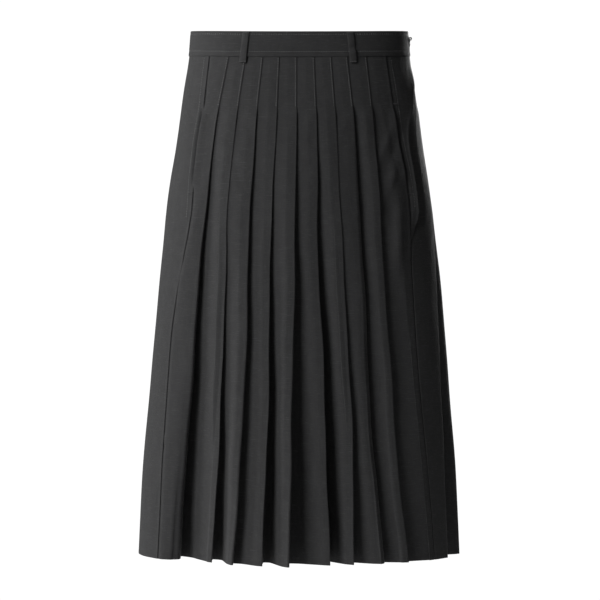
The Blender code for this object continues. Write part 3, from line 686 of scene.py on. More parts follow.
def pleated_section(figure, start, end, edges, shapes, stitched):
    """A pleated panel's section at every height.

    start, end and each of edges are arrays over the heights, shapes are the pleats'
    sizes at the hem, and stitched is the height where the stitching ends.  Gives
    arrays of distance along, distance out, share of a pressed edge, and distance
    across the flat cloth, which is counted afresh from each folded edge.
    """
    bends = {row[0]: dict(zip(BEND_COLUMNS, row)) for row in BENDS}
    below = figure.below(stitched)
    shares = [below ** shape["opens"] for shape in shapes]
    pop = PLEAT_POP * edge_pop(figure.heights, stitched)
    stands = [share * shape["stand"] + pop for share, shape in zip(shares, shapes)]
    zero = np.zeros_like(below)
    corners = [("plain", start + step, zero) for step in (0.0,) + SEAM_STEPS]
    for part in PLAIN_PARTS:
        corners.append(("plain", mix(start + SEAM_STEPS[-1], edges[0], part), part * stands[0]))
    softness = [below ** PLAIN_POWER] * len(corners)
    owner = [0] * len(corners)
    for number, (edge, shape) in enumerate(zip(edges, shapes)):
        last = number == len(edges) - 1
        swell = FACE_SWELL * (1.0 + SWELL_CHANGE * math.sin(SWELL_TURN * number))
        made = pleat_corners(edge, end if last else edges[number + 1], stands[number],
                             zero if last else stands[number + 1], last, shares[number], shape, swell)
        corners.extend(made)
        softness.extend([shares[number]] * len(made))
        owner.extend(number if name.startswith(("edge", "under", "fold")) else number + 1
                     for name, _, _ in made)
    _, left_along, _ = corners[-1]
    steps = max(2, round(float(np.max(end - left_along)) / PLAIN_STEP))
    for part in np.arange(1, steps) / steps:
        corners.append(("plain", mix(left_along, end - SEAM_STEPS[-1], part), zero))
    corners.extend(("plain", end - step, zero) for step in SEAM_STEPS[::-1] + (0.0,))
    owner.extend([len(edges)] * (len(corners) - len(owner)))
    softness.extend([below ** PLAIN_POWER] * (len(corners) - len(softness)))

    points = np.stack([np.stack([along, out], axis=-1) for _, along, out in corners], axis=1)
    rolls = [max(1.0, ROLL_SOFTNESS * shapes[min(pleat, len(shapes) - 1)]["roll"])
             if name.startswith("edge") else 1.0 for (name, _, _), pleat in zip(corners, owner)]
    reach = np.stack([mix(bends[name]["flat"], bends[name]["hem"] * roll, share)
                      for (name, _, _), share, roll in zip(corners, softness, rolls)], axis=1)
    tight = [bends[name]["tight"] for name, _, _ in corners]
    section, source = rounded(points, reach, tight)
    press = np.array([bends[name]["pressed"] for name, _, _ in corners])[source]
    owner = np.array(owner)[source]
    run = running_length(section)
    anchors = np.stack([run[:, owner == k].mean(axis=1) for k in range(len(edges) + 1)], axis=1)
    across = run - anchors[:, owner] + anchors.mean(axis=0)[owner]
    return section[..., 0], section[..., 1], np.broadcast_to(press, run.shape), across


def plain_section(path, reach):
    """A plain piece's section: path is (distance along, distance out) arrays over the heights."""
    points = np.stack([np.stack(np.broadcast_arrays(*point), axis=-1) for point in path], axis=1)
    section, _ = rounded(points, np.full(points.shape[:2], reach), [False] * len(path))
    across = running_length(section)
    return section[..., 0], section[..., 1], np.zeros_like(across), across


def with_rims(section):
    """A section's arrays with two more columns close to both ends, so that the ends can be round."""
    along = section[0]
    parts = []
    for near, after in ((0, 1), (-1, -2)):
        parts.append(np.array(RIM_STEPS) / np.abs(along[:, after] - along[:, near])[:, None])

    def widened(values):
        first = values[:, :1] + (values[:, 1:2] - values[:, :1]) * parts[0]
        last = values[:, -1:] + (values[:, -2:-1] - values[:, -1:]) * parts[1]
        return np.concatenate([values[:, :1], first, values[:, 1:-1], last[:, ::-1], values[:, -1:]], axis=1)

    return tuple(widened(values) for values in section)


def wall_rows(top, bottom, near, far):
    """Heights from top to bottom: steps of near at the hips and far below, and two close to both ends."""
    change = max(bottom, min(top, ROWS_CHANGE))
    upper = np.linspace(top, change, max(1, math.ceil((top - change) / near)) + 1)
    lower = np.linspace(change, bottom, max(1, math.ceil((change - bottom) / far)) + 1)
    ends = np.array(RIM_STEPS)
    rows = np.concatenate([upper, lower, top - ends, bottom + ends])
    return np.unique(np.round(rows, 4))[::-1]


def rim(places):
    """Share of the full thickness at a row of places: less over the last fraction of a millimetre."""
    places = np.abs(places - places[0])
    near = np.clip(np.minimum(places, places[-1] - places) / RIM, 0.0, 1.0)
    return RIM_LEAST + (1.0 - RIM_LEAST) * np.sqrt(near)


# ---------------------------------------------------------------- meshes

def new_mesh(name, points, *groups):
    """A mesh from points in millimetres and groups of faces with equal corner counts."""
    corners = np.concatenate([group.ravel() for group in groups]).astype(np.int32)
    counts = np.concatenate([np.full(len(group), group.shape[1]) for group in groups])
    starts = np.concatenate([[0], np.cumsum(counts)[:-1]]).astype(np.int32)
    mesh = bpy.data.meshes.new(name)
    mesh.vertices.add(len(points))
    mesh.vertices.foreach_set("co", (points * MM).astype(np.float32).ravel())
    mesh.loops.add(len(corners))
    mesh.loops.foreach_set("vertex_index", corners)
    mesh.polygons.add(len(counts))
    mesh.polygons.foreach_set("loop_start", starts)
    mesh.update(calc_edges=True)
    mesh.shade_smooth()
    return mesh


def add_map(mesh, across, down):
    """The cloth's own map: metres across and down the flat piece, for its weave."""
    corner = np.empty(len(mesh.loops), np.int32)
    mesh.loops.foreach_get("vertex_index", corner)
    layer = mesh.uv_layers.new(name=CLOTH_MAP)
    flat = np.stack([across, down], axis=-1)[corner] * MM
    layer.data.foreach_set("uv", flat.astype(np.float32).ravel())


def add_share(mesh, name, values):
    """A number from 0 to 1 at every point, for the material."""
    attribute = mesh.attributes.new(name, "FLOAT", "POINT")
    attribute.data.foreach_set("value", np.asarray(values, np.float32))


def wall_faces(rows, columns):
    """Faces of a closed wall: its outer grid's points come first, then its inner grid's."""
    index = np.arange(rows * columns).reshape(rows, columns)
    inside = index + rows * columns

    def patch(a, b, c, d):
        return np.stack([a.ravel(), b.ravel(), c.ravel(), d.ravel()], axis=-1)

    return np.concatenate([
        patch(index[:-1, :-1], index[1:, :-1], index[1:, 1:], index[:-1, 1:]),
        patch(inside[:-1, :-1], inside[:-1, 1:], inside[1:, 1:], inside[1:, :-1]),
        patch(index[0, :-1], index[0, 1:], inside[0, 1:], inside[0, :-1]),
        patch(index[-1, :-1], inside[-1, :-1], inside[-1, 1:], index[-1, 1:]),
        patch(index[:-1, 0], inside[:-1, 0], inside[1:, 0], index[1:, 0]),
        patch(index[:-1, -1], index[1:, -1], inside[1:, -1], inside[:-1, -1]),
    ])


def surface_area(grid):
    """Area of a grid of points: the two halves of each cell."""
    a, b, c, d = grid[:-1, :-1], grid[1:, :-1], grid[1:, 1:], grid[:-1, 1:]
    first = np.linalg.norm(np.cross(b - a, c - a), axis=-1)
    second = np.linalg.norm(np.cross(c - a, d - a), axis=-1)
    return float((first.sum() + second.sum()) / 2.0)


def wall_mesh(name, figure, section, thickness, raised=None):
    """A closed wall of cloth about a middle surface, and that surface's area in square metres.

    Its two faces lie half the thickness to each side of the middle, in plan, and
    the outer one is also raised, by a function of the height and the distance
    across.  Both come together towards the rims.
    """
    along, out, press, across = with_rims(section)
    proud = raised(figure.heights, across) if raised else 0.0
    line = figure.plan(along, out)
    rows, columns = along.shape
    round_off = np.outer(rim(figure.heights), rim(along[rows // 2]))
    outer = figure.lift(offset_plan(line, (thickness / 2.0 + proud) * round_off), line[..., 1])
    inner = figure.lift(offset_plan(line, -thickness / 2.0 * round_off), line[..., 1])
    mesh = new_mesh(name, np.concatenate([outer.reshape(-1, 3), inner.reshape(-1, 3)]),
                    wall_faces(rows, columns))
    down = np.repeat(-figure.heights, columns)
    add_map(mesh, np.tile(across.ravel(), 2), np.tile(down, 2))
    add_share(mesh, PRESSED, np.tile(press.ravel(), 2))
    return mesh, surface_area(figure.lift(line, line[..., 1])) * MM * MM


def capsule():
    """A thread's bead: points (length, width, height shares) and faces of a round bar with pointed ends."""
    rings = np.array(CAPSULE_RINGS)
    turn = np.linspace(0.0, 2.0 * math.pi, CAPSULE_SIDES, endpoint=False)
    ring = np.stack([np.zeros_like(turn), np.cos(turn), np.sin(turn)], axis=-1) / 2.0
    points = ring[None] * rings[:, 1, None, None]
    points[..., 0] = rings[:, 0, None]
    ends = np.array([[-0.5, 0.0, 0.0], [0.5, 0.0, 0.0]])
    points = np.concatenate([points.reshape(-1, 3), ends])
    index = np.arange(len(rings) * CAPSULE_SIDES).reshape(len(rings), CAPSULE_SIDES)
    after = np.roll(index, -1, axis=1)
    quads = np.stack([index[:-1], after[:-1], after[1:], index[1:]], axis=-1).reshape(-1, 4)
    first, last = index.size, index.size + 1
    start = np.stack([after[0], index[0], np.full(CAPSULE_SIDES, first)], axis=-1)
    finish = np.stack([index[-1], after[-1], np.full(CAPSULE_SIDES, last)], axis=-1)
    return points, quads, np.concatenate([start, finish])


def beads_mesh(name, centres, forward, outward, size):
    """Copies of the capsule at centres, each turned to lie along forward with its top outward.

    size is (length, width, height) in millimetres.
    """
    ahead = forward / np.linalg.norm(forward, axis=-1, keepdims=True)
    side = np.cross(outward, ahead)
    side = side / np.linalg.norm(side, axis=-1, keepdims=True)
    top = np.cross(ahead, side)
    axes = np.stack([ahead, side, top], axis=1)
    points, quads, ends = capsule()
    placed = centres[:, None] + np.einsum("pk,nkj->npj", points * np.array(size), axes)
    step = (np.arange(len(centres)) * len(points))[:, None, None]
    return new_mesh(name, placed.reshape(-1, 3), (quads[None] + step).reshape(-1, 4),
                    (ends[None] + step).reshape(-1, 3))


def seam_points(heights, along, out, sizes):
    """Points, forward and outward directions of a row of stitches that runs down the figure."""
    figure = Figure(heights, sizes)
    here = figure.place(along[:, None], out[:, None])[:, 0]
    above = figure.place(along[:, None], out[:, None] + 1.0)[:, 0]
    return here, np.gradient(here, axis=0), above - here


def round_points(height, along, out, sizes):
    """The same for a row that runs round the figure at one height."""
    figure = Figure([height], sizes)
    here = figure.place(along[None], out)[0]
    above = figure.place(along[None], out + 1.0)[0]
    return here, np.gradient(here, axis=0), above - here


def upright_points(heights, along, out, sizes):
    """The same for a tack: its stitches stand upright, side by side."""
    here, _, outward = seam_points(heights, along, out, sizes)
    return here, np.broadcast_to(np.array([0.0, 0.0, 1.0]), here.shape), outward


def joined(rows):
    """Several rows of stitches as one."""
    return tuple(np.concatenate(parts) for parts in zip(*rows))


# ---------------------------------------------------------------- the pieces' sections

def read_rows(table, names):
    """A table's rows by column name."""
    return [dict(zip(names, row)) for row in table]


def wandering(heights, number, stitched, hem):
    """A free folded edge's sideways wander: two slow waves that grow from the stitching down."""
    free = ease((stitched - heights) / WANDER_RISE) * ease((heights - hem) / WANDER_END + WANDER_HEM)
    slow = np.sin(2.0 * math.pi * (heights / WANDER_LONG + WANDER_STEP * number))
    quick = np.sin(2.0 * math.pi * (heights / WANDER_SHORT + 2.0 * WANDER_STEP * number))
    return WANDER * free * (slow + 0.5 * quick)


def front_edges(figure, stitched):
    """Distances along the curve of the front's folded edges, and their shapes.

    The table gives where an edge is seen, so the place below it on the curve is
    moved back by the sideways part of how far the edge stands out.
    """
    shapes = read_rows(FRONT_PLEATS, PLEAT_COLUMNS)
    for shape, after in zip(shapes, shapes[1:] + shapes[-1:]):
        shape["next_roll"] = after["roll"]
    below = figure.below(stitched)
    edges = []
    for number, (row, shape) in enumerate(zip(FRONT_PLEATS, shapes)):
        seen = smooth_line(row[:len(STATIONS)], figure.heights)
        seen = seen + wandering(figure.heights, number, stitched, figure.hem)
        along = figure.front_distance(seen)
        sideways = (figure.plan(along[:, None], 1.0) - figure.plan(along[:, None], 0.0))[:, 0, 0]
        edges.append(figure.front_distance(seen - sideways * shape["stand"] * below ** shape["opens"]))
    return edges, shapes


def back_edges(figure, stitched):
    """Distances along the curve of the back's folded edges, and their shapes."""
    shape = dict(zip(PLEAT_COLUMNS[len(STATIONS):], BACK_SHAPE), next_roll=0.0)
    first = figure.left_side + smooth_line(BACK_FIRST, figure.heights)
    last = figure.right_side - smooth_line(BACK_LAST, figure.heights)
    shares = np.linspace(0.0, 1.0, BACK_PLEATS)
    edges = [mix(first, last, share) + wandering(figure.heights, number + BACK_OFFSET, stitched, figure.hem)
             for number, share in enumerate(shares)]
    shapes = [dict(shape, depth=shape["depth"] + BACK_UNEVEN * math.sin(SWELL_TURN * number))
              for number in range(BACK_PLEATS)]
    return edges, shapes


def sunk_border(section, border, width, depth, level=0.0):
    """A section whose cloth turns down by depth over a width from a border, all of it up to level."""
    along, out, press, across = section
    near = np.clip((width - np.abs(along - border[:, None])) / (width - level), 0.0, 1.0)
    return along, out - np.reshape(depth, (-1, 1)) * ease(near), press, across


def between(heights, top, bottom, fade=MOUTH_FADE):
    """1 between two heights, and 0 above and below them."""
    return ease((top - heights) / fade) * ease((heights - bottom) / fade)


def valley(heights):
    """How far the back panel falls in beside the zip."""
    return VALLEY_DEPTH * between(heights, VALLEY_TOP, VALLEY_FOOT, VALLEY_FADE)


def front_section(figure, stitched):
    """The front panel's section: sunk at the seams, and standing off at the pocket mouths."""
    right, _ = figure.seams()
    right_open = between(figure.heights, MOUTH_TOP, RIGHT_MOUTH_FREE)
    left_open = between(figure.heights, MOUTH_TOP, LEFT_MOUTH_FREE)
    start = right + SEAM_GAP / 2.0 - SEAM_LAP * (1.0 - right_open)
    end = figure.mouth() - SEAM_GAP / 2.0
    edges, shapes = front_edges(figure, stitched)
    section = pleated_section(figure, start, end, edges, shapes, stitched)
    section = sunk_border(section, start, SEAM_WIDTH + SEAM_LAP, SEAM_SINK * (1.0 - right_open))
    section = sunk_border(section, start, MOUTH_WIDTH, -RIGHT_MOUTH_STAND * right_open)
    below = ease((LEFT_MOUTH_END - figure.heights) / MOUTH_FADE)
    section = sunk_border(section, end, SEAM_WIDTH, -LEFT_MOUTH_FLAT * (1.0 - below))
    return sunk_border(section, end, MOUTH_WIDTH, -LEFT_MOUTH_STAND * left_open)


def back_section(figure, stitched):
    """The back panel's section, from the left side seam round to the right one."""
    right, left = figure.seams()
    below = ease((LEFT_MOUTH_END - figure.heights) / MOUTH_FADE)
    start = left + SEAM_GAP / 2.0 - SEAM_LAP * below
    end = right + figure.length - SEAM_GAP / 2.0
    edges, shapes = back_edges(figure, stitched)
    section = pleated_section(figure, start, end, edges, shapes, stitched)
    section = sunk_border(section, start, LAP_WIDTH, SEAM_SINK * (1.0 - below))
    section = sunk_border(section, start, GROOVE_WIDTH, GROOVE_DEPTH * below, GROOVE_LEVEL)
    section = sunk_border(section, start, VALLEY_WIDTH, valley(figure.heights))
    right_open = between(figure.heights, MOUTH_TOP, RIGHT_MOUTH_FREE)
    section = sunk_border(section, end, LAP_WIDTH, -LAP_RISE * (1.0 - right_open))
    return sunk_border(section, end, RIGHT_SINK_WIDTH, RIGHT_MOUTH_SINK * right_open)


def bag_path(mouth, side, heights, mouth_out):
    """Distances along and out of a pocket's bag, from the mouth's edge inwards."""
    bag_out = -BAG_DROP - BAG_SLOPE * (BAND_BOTTOM - heights)
    return [
        (mouth - side * POCKET_TUCK, mouth_out),
        (mouth - side * (POCKET_TUCK + BAG_STEP), bag_out),
        (mouth - side * (POCKET_TUCK + BAG_REACH) / 2.0, bag_out),
        (mouth - side * BAG_REACH, bag_out),
    ]


def left_pocket_section(figure):
    """The left pocket: a side piece from the zip's seam to the mouth, and the bag under the front."""
    start = figure.seams()[1] - SEAM_GAP / 2.0
    mouth = figure.mouth()
    visible = start - mouth
    wide = np.clip(visible / POCKET_STEP - 1.0, 0.0, 1.0)
    sunk = -POCKET_DROP * np.clip(1.0 - visible / POCKET_STEP, 0.0, 1.0)
    deep = -POCKET_DROP - MOUTH_DEPTH * between(figure.heights, MOUTH_TOP, LEFT_MOUTH_FREE)
    proud = valley(figure.heights) / VALLEY_DEPTH * wide
    path = [(start - visible * part, sunk + rise * proud) for part, rise in SIDE_RISE]
    path.append((mouth + np.minimum(POCKET_STEP, visible * POCKET_EASE), sunk))
    path.append((mouth + POCKET_LIP, deep))
    path.extend(bag_path(mouth, 1, figure.heights, deep))
    return plain_section(path[::-1], POCKET_BEND)


def right_pocket_section(figure):
    """The right pocket's bag, which hangs inside from the seam that is its mouth."""
    mouth = figure.seams()[0]
    drop = -POCKET_DROP - RIGHT_MOUTH_SINK * between(figure.heights, MOUTH_TOP, RIGHT_MOUTH_FREE)
    path = [(mouth - BAG_LAP, drop), (mouth, drop)]
    return plain_section(path + bag_path(mouth, -1, figure.heights, drop), POCKET_BEND)


def strip_section(centre, offsets, out):
    """A narrow strip's section: offsets across it from its centre line, at one distance out."""
    along = centre[:, None] + offsets
    across = np.broadcast_to(offsets - offsets[0], along.shape)
    return along, np.broadcast_to(np.reshape(out, (-1, 1)), along.shape), np.zeros(along.shape), across


def band_puff(heights):
    """How far the band's outer face stands proud: sunk along its two rows of stitches."""
    edge = np.clip(np.minimum(BAND_TOP - heights, heights - BAND_BOTTOM), 0.0, None)
    total = BAND_PUFF * ease(edge / BAND_PUFF_RISE)
    for row in BAND_ROWS:
        total = total - ROW_SINK * np.exp(-((heights - row) / ROW_WIDTH) ** 2)
    return total


def loop_line(loop, figure):
    """A belt loop's centre line, and how far out it lies: its middle arches off the band."""
    share = (LOOP_TOP - figure.heights) / (LOOP_TOP - LOOP_BOTTOM)
    place = mix(loop["top"], loop["bottom"], share)
    centre = figure.back_distance(-place) if loop["turned"] else figure.front_distance(place)
    return centre, LOOP_REST + LOOP_ARCH * np.sin(math.pi * np.clip(share, 0.0, 1.0))


def loop_crown(across, width):
    """How far a loop's outer face stands proud of flat: a parabola over its width."""
    return LOOP_CROWN * (1.0 - (2.0 * across / width - 1.0) ** 2)


# ---------------------------------------------------------------- materials

class Graph:
    """A material's nodes, added and joined in short calls."""

    def __init__(self, name):
        self.material = bpy.data.materials.new(name)
        self.material.use_nodes = True
        self.tree = self.material.node_tree
        self.shader = self.tree.nodes["Principled BSDF"]

    def add(self, kind, inputs=(), output=0, **settings):
        """One output of a new node; inputs gives its sockets values or other nodes' outputs."""
        node = self.tree.nodes.new(kind)
        for key, value in settings.items():
            setattr(node, key, value)
        self.join(node, inputs)
        return node.outputs[output]

    def join(self, node, inputs):
        """Sets a node's sockets to values or joins them to other nodes' outputs."""
        for socket, value in dict(inputs).items():
            if isinstance(value, bpy.types.NodeSocket):
                self.tree.links.new(value, node.inputs[socket])
            else:
                node.inputs[socket].default_value = value

    def finish(self, **inputs):
        """Sets the shader's sockets, named with _ for a space, and gives the material."""
        self.join(self.shader, {key.replace("_", " "): value for key, value in inputs.items()})
        return self.material

    def noise(self, vector, stretch, detail=2.0, roughness=0.5):
        """Soft noise, with stretch repeats a metre along each direction."""
        at = self.add("ShaderNodeMapping", {"Vector": vector, "Scale": stretch})
        return self.add("ShaderNodeTexNoise", {"Vector": at, "Scale": 1.0, "Detail": detail,
                                               "Roughness": roughness})

    def span(self, value, low, high, least=0.0, most=1.0, **settings):
        """A value's range low to high, turned into least to most."""
        return self.add("ShaderNodeMapRange", {"Value": value, "From Min": low, "From Max": high,
                                               "To Min": least, "To Max": most}, **settings)

    def math(self, operation, first, second=0.0):
        """Arithmetic on two values."""
        return self.add("ShaderNodeMath", {0: first, 1: second}, operation=operation)

    def ridges(self, value, pitch):
        """Round ridges, a pitch apart: the absolute sine of half a turn for each pitch."""
        turn = self.math("MULTIPLY", value, math.pi / pitch)
        return self.math("ABSOLUTE", self.math("SINE", turn))

    def split(self, vector):
        """A vector's X, Y and Z."""
        parts = self.tree.nodes.new("ShaderNodeSeparateXYZ")
        self.join(parts, {"Vector": vector})
        return parts.outputs

    def blend(self, share, first, second):
        """A colour part of the way from the first to the second."""
        return self.add("ShaderNodeMixRGB", {"Fac": share, "Color1": first, "Color2": second})

    def bump(self, height, distance, under=None):
        """A surface raised by height times distance, over another such surface."""
        inputs = {"Height": height, "Distance": distance, "Strength": 1.0}
        if under is not None:
            inputs["Normal"] = under
        return self.add("ShaderNodeBump", inputs)


def plain_weave(graph, flat, pitch):
    """Height of a plain weave: the threads' round tops, warp and weft by turns uppermost."""
    parts = graph.split(flat)
    warp_top, weft_top = graph.ridges(parts[0], pitch), graph.ridges(parts[1], pitch)
    over = graph.add("ShaderNodeTexChecker", {"Vector": flat, "Scale": 1.0 / pitch}, output="Fac")

    def height(warp_share, weft_share):
        return graph.math("ADD", graph.math("MULTIPLY", warp_top, warp_share),
                          graph.math("MULTIPLY", weft_top, weft_share))

    return graph.span(over, 0.0, 1.0, height(WEAVE_UPPER, WEAVE_LOWER), height(WEAVE_LOWER, WEAVE_UPPER))


def suiting(name, bias=0.0):
    """Charcoal plain-weave suiting: slubs along the weft, faint warp streaks, pressed edges glossier and
    painted a little lighter as sheen.
    """
    looks = bpy.context.scene.skirt_looks
    graph = Graph(name)
    flat = graph.add("ShaderNodeUVMap", uv_map=CLOTH_MAP)
    slubs = graph.noise(flat, SLUB_REPEATS, 3.0, 0.6)
    long_slubs = graph.noise(flat, LONG_SLUB_REPEATS, 2.0, 0.55)
    streaks = graph.noise(flat, STREAK_REPEATS, 2.0, 0.5)
    mottling = graph.noise(flat, MOTTLING_REPEATS, 3.0, 0.55)
    pressed = graph.add("ShaderNodeAttribute", attribute_name=PRESSED, output="Fac")
    slub = graph.math("MAXIMUM", graph.span(slubs, *SLUB_SPAN), graph.span(long_slubs, *LONG_SLUB_SPAN))
    colour = graph.blend(graph.span(mottling, *SOFT_SPAN), looks.cloth_dark, looks.cloth)
    colour = graph.blend(graph.span(streaks, *STREAK_SPAN), colour, looks.slub)
    colour = graph.blend(graph.math("MULTIPLY", slub, looks.slub_share), colour, looks.slub)
    # painted sheen: pressed edges are painted a little lighter, towards the slub colour
    colour = graph.blend(graph.math("MULTIPLY", pressed, PRESSED_PAINTED_SHEEN), colour, looks.slub)
    roughness = graph.math("SUBTRACT", graph.span(mottling, *SOFT_SPAN, 0.80, 0.72),
                           graph.math("MULTIPLY", pressed, PRESSED_SHINE))
    weave = plain_weave(graph, flat, looks.thread_pitch)
    normal = graph.bump(weave, WEAVE_RISE)
    normal = graph.bump(slub, SLUB_RISE, normal)
    normal = graph.bump(graph.span(mottling, 0.2, 0.8), MOTTLING_RISE, normal)
    return graph.finish(Base_Color=colour, Roughness=roughness, Normal=normal,
                        Specular_IOR_Level=0.30 + bias, Sheen_Weight=0.12, Sheen_Roughness=0.45)


def sewing_thread(name="sewing_thread", tone="thread"):
    """Matt sewing thread: a grey lighter than the cloth, its colour painted lighter still as a highlight where
    it catches the light, with its twist as a fine ripple.
    """
    looks = bpy.context.scene.skirt_looks
    graph = Graph(name)
    place = graph.add("ShaderNodeTexCoord", output="Object")
    shade = graph.noise(place, (900.0, 900.0, 900.0), 2.0, 0.5)
    # the thread tone is the thread's own grey plus a painted highlight for the light the stitches catch
    colour = graph.blend(graph.span(shade, *SOFT_SPAN), looks.cloth, getattr(looks, tone))
    twist = graph.noise(place, (5200.0, 5200.0, 5200.0), 1.0, 0.5)
    return graph.finish(Base_Color=colour, Roughness=graph.span(shade, *SOFT_SPAN, 0.5, 0.66),
                        Normal=graph.bump(twist, 0.00006), Specular_IOR_Level=0.4, Sheen_Weight=0.1)


def woven_tape():
    """The zip's tape: a tight herringbone, drawn by slanted waves that turn at each band."""
    looks = bpy.context.scene.skirt_looks
    graph = Graph("woven_tape")
    flat = graph.add("ShaderNodeUVMap", uv_map=CLOTH_MAP)
    parts = graph.split(flat)
    fold = graph.math("PINGPONG", parts[0], TAPE_BAND)
    ribs = graph.ridges(graph.math("ADD", fold, parts[1]), TAPE_PITCH)
    shade = graph.noise(flat, (400.0, 400.0, 400.0), 2.0, 0.5)
    dark = graph.blend(graph.span(shade, *SOFT_SPAN), looks.cloth_dark, looks.tape)
    colour = graph.blend(graph.math("MULTIPLY", ribs, 0.5), dark, looks.tape)
    return graph.finish(Base_Color=colour, Roughness=graph.span(shade, *SOFT_SPAN, 0.74, 0.86),
                        Normal=graph.bump(ribs, 0.00012), Specular_IOR_Level=0.35)


def zip_finish(name, colour_name, metallic, low, high):
    """The zip's hard parts: fine brushing along the height, and duller specks of wear."""
    looks = bpy.context.scene.skirt_looks
    colour = getattr(looks, colour_name)
    graph = Graph(name)
    place = graph.add("ShaderNodeTexCoord", output="Object")
    brushed = graph.noise(place, (9000.0, 9000.0, 700.0), 2.0, 0.6)
    specks = graph.noise(place, (1500.0, 1500.0, 1500.0), 3.0, 0.6)
    darker = tuple(0.75 * part for part in colour[:3]) + (1.0,)
    worn = graph.blend(graph.span(specks, 0.45, 0.75), colour, darker)
    roughness = graph.math("ADD", graph.span(brushed, *SOFT_SPAN, low, high),
                           graph.span(specks, 0.5, 0.8, 0.0, 0.12))
    return graph.finish(Base_Color=worn, Roughness=roughness, Metallic=metallic,
                        Normal=graph.bump(brushed, 0.00003))


# ---------------------------------------------------------------- settings

def length_setting(name, description, default, precision=4):
    """A length in metres."""
    return FloatProperty(name=name, description=description, default=default, unit="LENGTH",
                         precision=precision)


def colour_setting(name, description, *rgb):
    """An opaque colour."""
    return FloatVectorProperty(name=name, description=description, default=rgb + (1.0,),
                               subtype="COLOR", size=4)


def power_setting(name, description, default):
    """A light's power in watts."""
    return FloatProperty(name=name, description=description + ", in watts", default=default)


class SkirtSizes(PropertyGroup):
    """Sizes that can be changed without new tables."""

    band_top: length_setting("Band top", "Height of the waistband's upper edge", BAND_TOP * MM)
    hem: length_setting("Hem", "Height of the hem below the middle of the band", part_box("front_panel")[0][2])
    stitch_end: length_setting("Stitching end", "Height down to which the pleats are sewn flat", -0.090)
    cloth_wall: length_setting("Cloth thickness", "Thickness of the panels' cloth", 0.00042, 5)
    band_wall: length_setting("Band thickness", "Thickness of the folded waistband", 0.0022, 5)
    loop_wall: length_setting("Loop thickness", "Thickness of a folded belt loop", 0.0012, 5)
    loop_width: length_setting("Loop width", "Width of a belt loop", 0.010)
    stitch_pitch: length_setting("Stitch length", "Distance from stitch to stitch", 0.0036)
    zip_length: length_setting("Zip length", "How far the zip runs below the waistband", 0.200)


class SkirtLooks(PropertyGroup):
    """Colours and the weave."""

    cloth: colour_setting("Cloth", "The suiting's usual colour", 0.040, 0.040, 0.041)
    cloth_dark: colour_setting("Cloth, dark", "Its darker mottling", 0.036, 0.036, 0.037)
    slub: colour_setting("Slubs", "Its lighter, thicker threads", 0.110, 0.110, 0.112)
    # a grey thread a little lighter than the cloth, set much lighter still as a painted highlight where the
    # stitches catch the light
    thread: colour_setting("Thread", "The sewing thread's colour", 0.420, 0.420, 0.422)
    tape: colour_setting("Tape", "The zip tape's colour", 0.030, 0.030, 0.031)
    metal: colour_setting("Metal", "The zip slider's and pull tab's colour", 0.86, 0.86, 0.86)
    teeth: colour_setting("Teeth", "The colour of the zip's coil", 0.030, 0.030, 0.032)
    slub_share: FloatProperty(name="Slub strength", description="How much lighter the slubs are",
                              default=0.42, min=0.0, max=1.0, subtype="FACTOR")
    thread_pitch: length_setting("Thread pitch", "Distance from yarn to yarn in the weave", 0.0005, 5)


class SkirtStudio(PropertyGroup):
    """Camera, lights and floor."""

    distance: length_setting("Camera distance", "From the camera to the skirt's middle plane", 2.7)
    aim: length_setting("Camera height", "Height of the level camera", -0.384)
    shift: length_setting("Camera to the side", "How far the camera stands to the right", 0.00075, 5)
    lens: FloatProperty(name="Lens", description="Focal length on a 36 mm wide sensor", default=108.0)
    key_power: power_setting("Key light", "Power of the large light on the left", 93.0)
    side_power: power_setting("Side light", "Power of the light beside the skirt", 62.0)
    fill_power: power_setting("Fill light", "Power of the light on the right", 2.0)
    rim_power: power_setting("Back light", "Power of the light from behind", 80.0)
    surround: FloatProperty(name="Surround", description="Brightness of the room's even light",
                            default=0.048)
    backdrop: FloatProperty(name="Backdrop", description="Brightness of the white behind the skirt",
                            default=1.05)
    floor_drop: length_setting("Floor", "Height of the floor below the waist", -1.30)


# ---------------------------------------------------------------- operators

def new_piece(name, mesh, material, nodes=()):
    """The finished object, which rides on the skirt and stands for CAD nodes."""
    mesh.name = name
    mesh.materials.append(material)
    piece = bpy.data.objects.new(name, mesh)
    bpy.context.scene.collection.objects.link(piece)
    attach(piece, BODY)
    if nodes:
        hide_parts(*nodes)
    return piece


def sewing(name, rows, size, material):
    """A piece of stitches or teeth, made of beads along rows of points."""
    return new_piece(name, beads_mesh(name, *joined(rows), size), material)


def millimetres(value):
    """A property's metres in the tables' millimetres."""
    return value / MM


def band_ends(figure):
    """Where the waistband starts and ends, on both sides of the zip's gap."""
    _, left = figure.seams()
    return left + ZIP_GAP / 2.0, left + figure.length - ZIP_GAP / 2.0


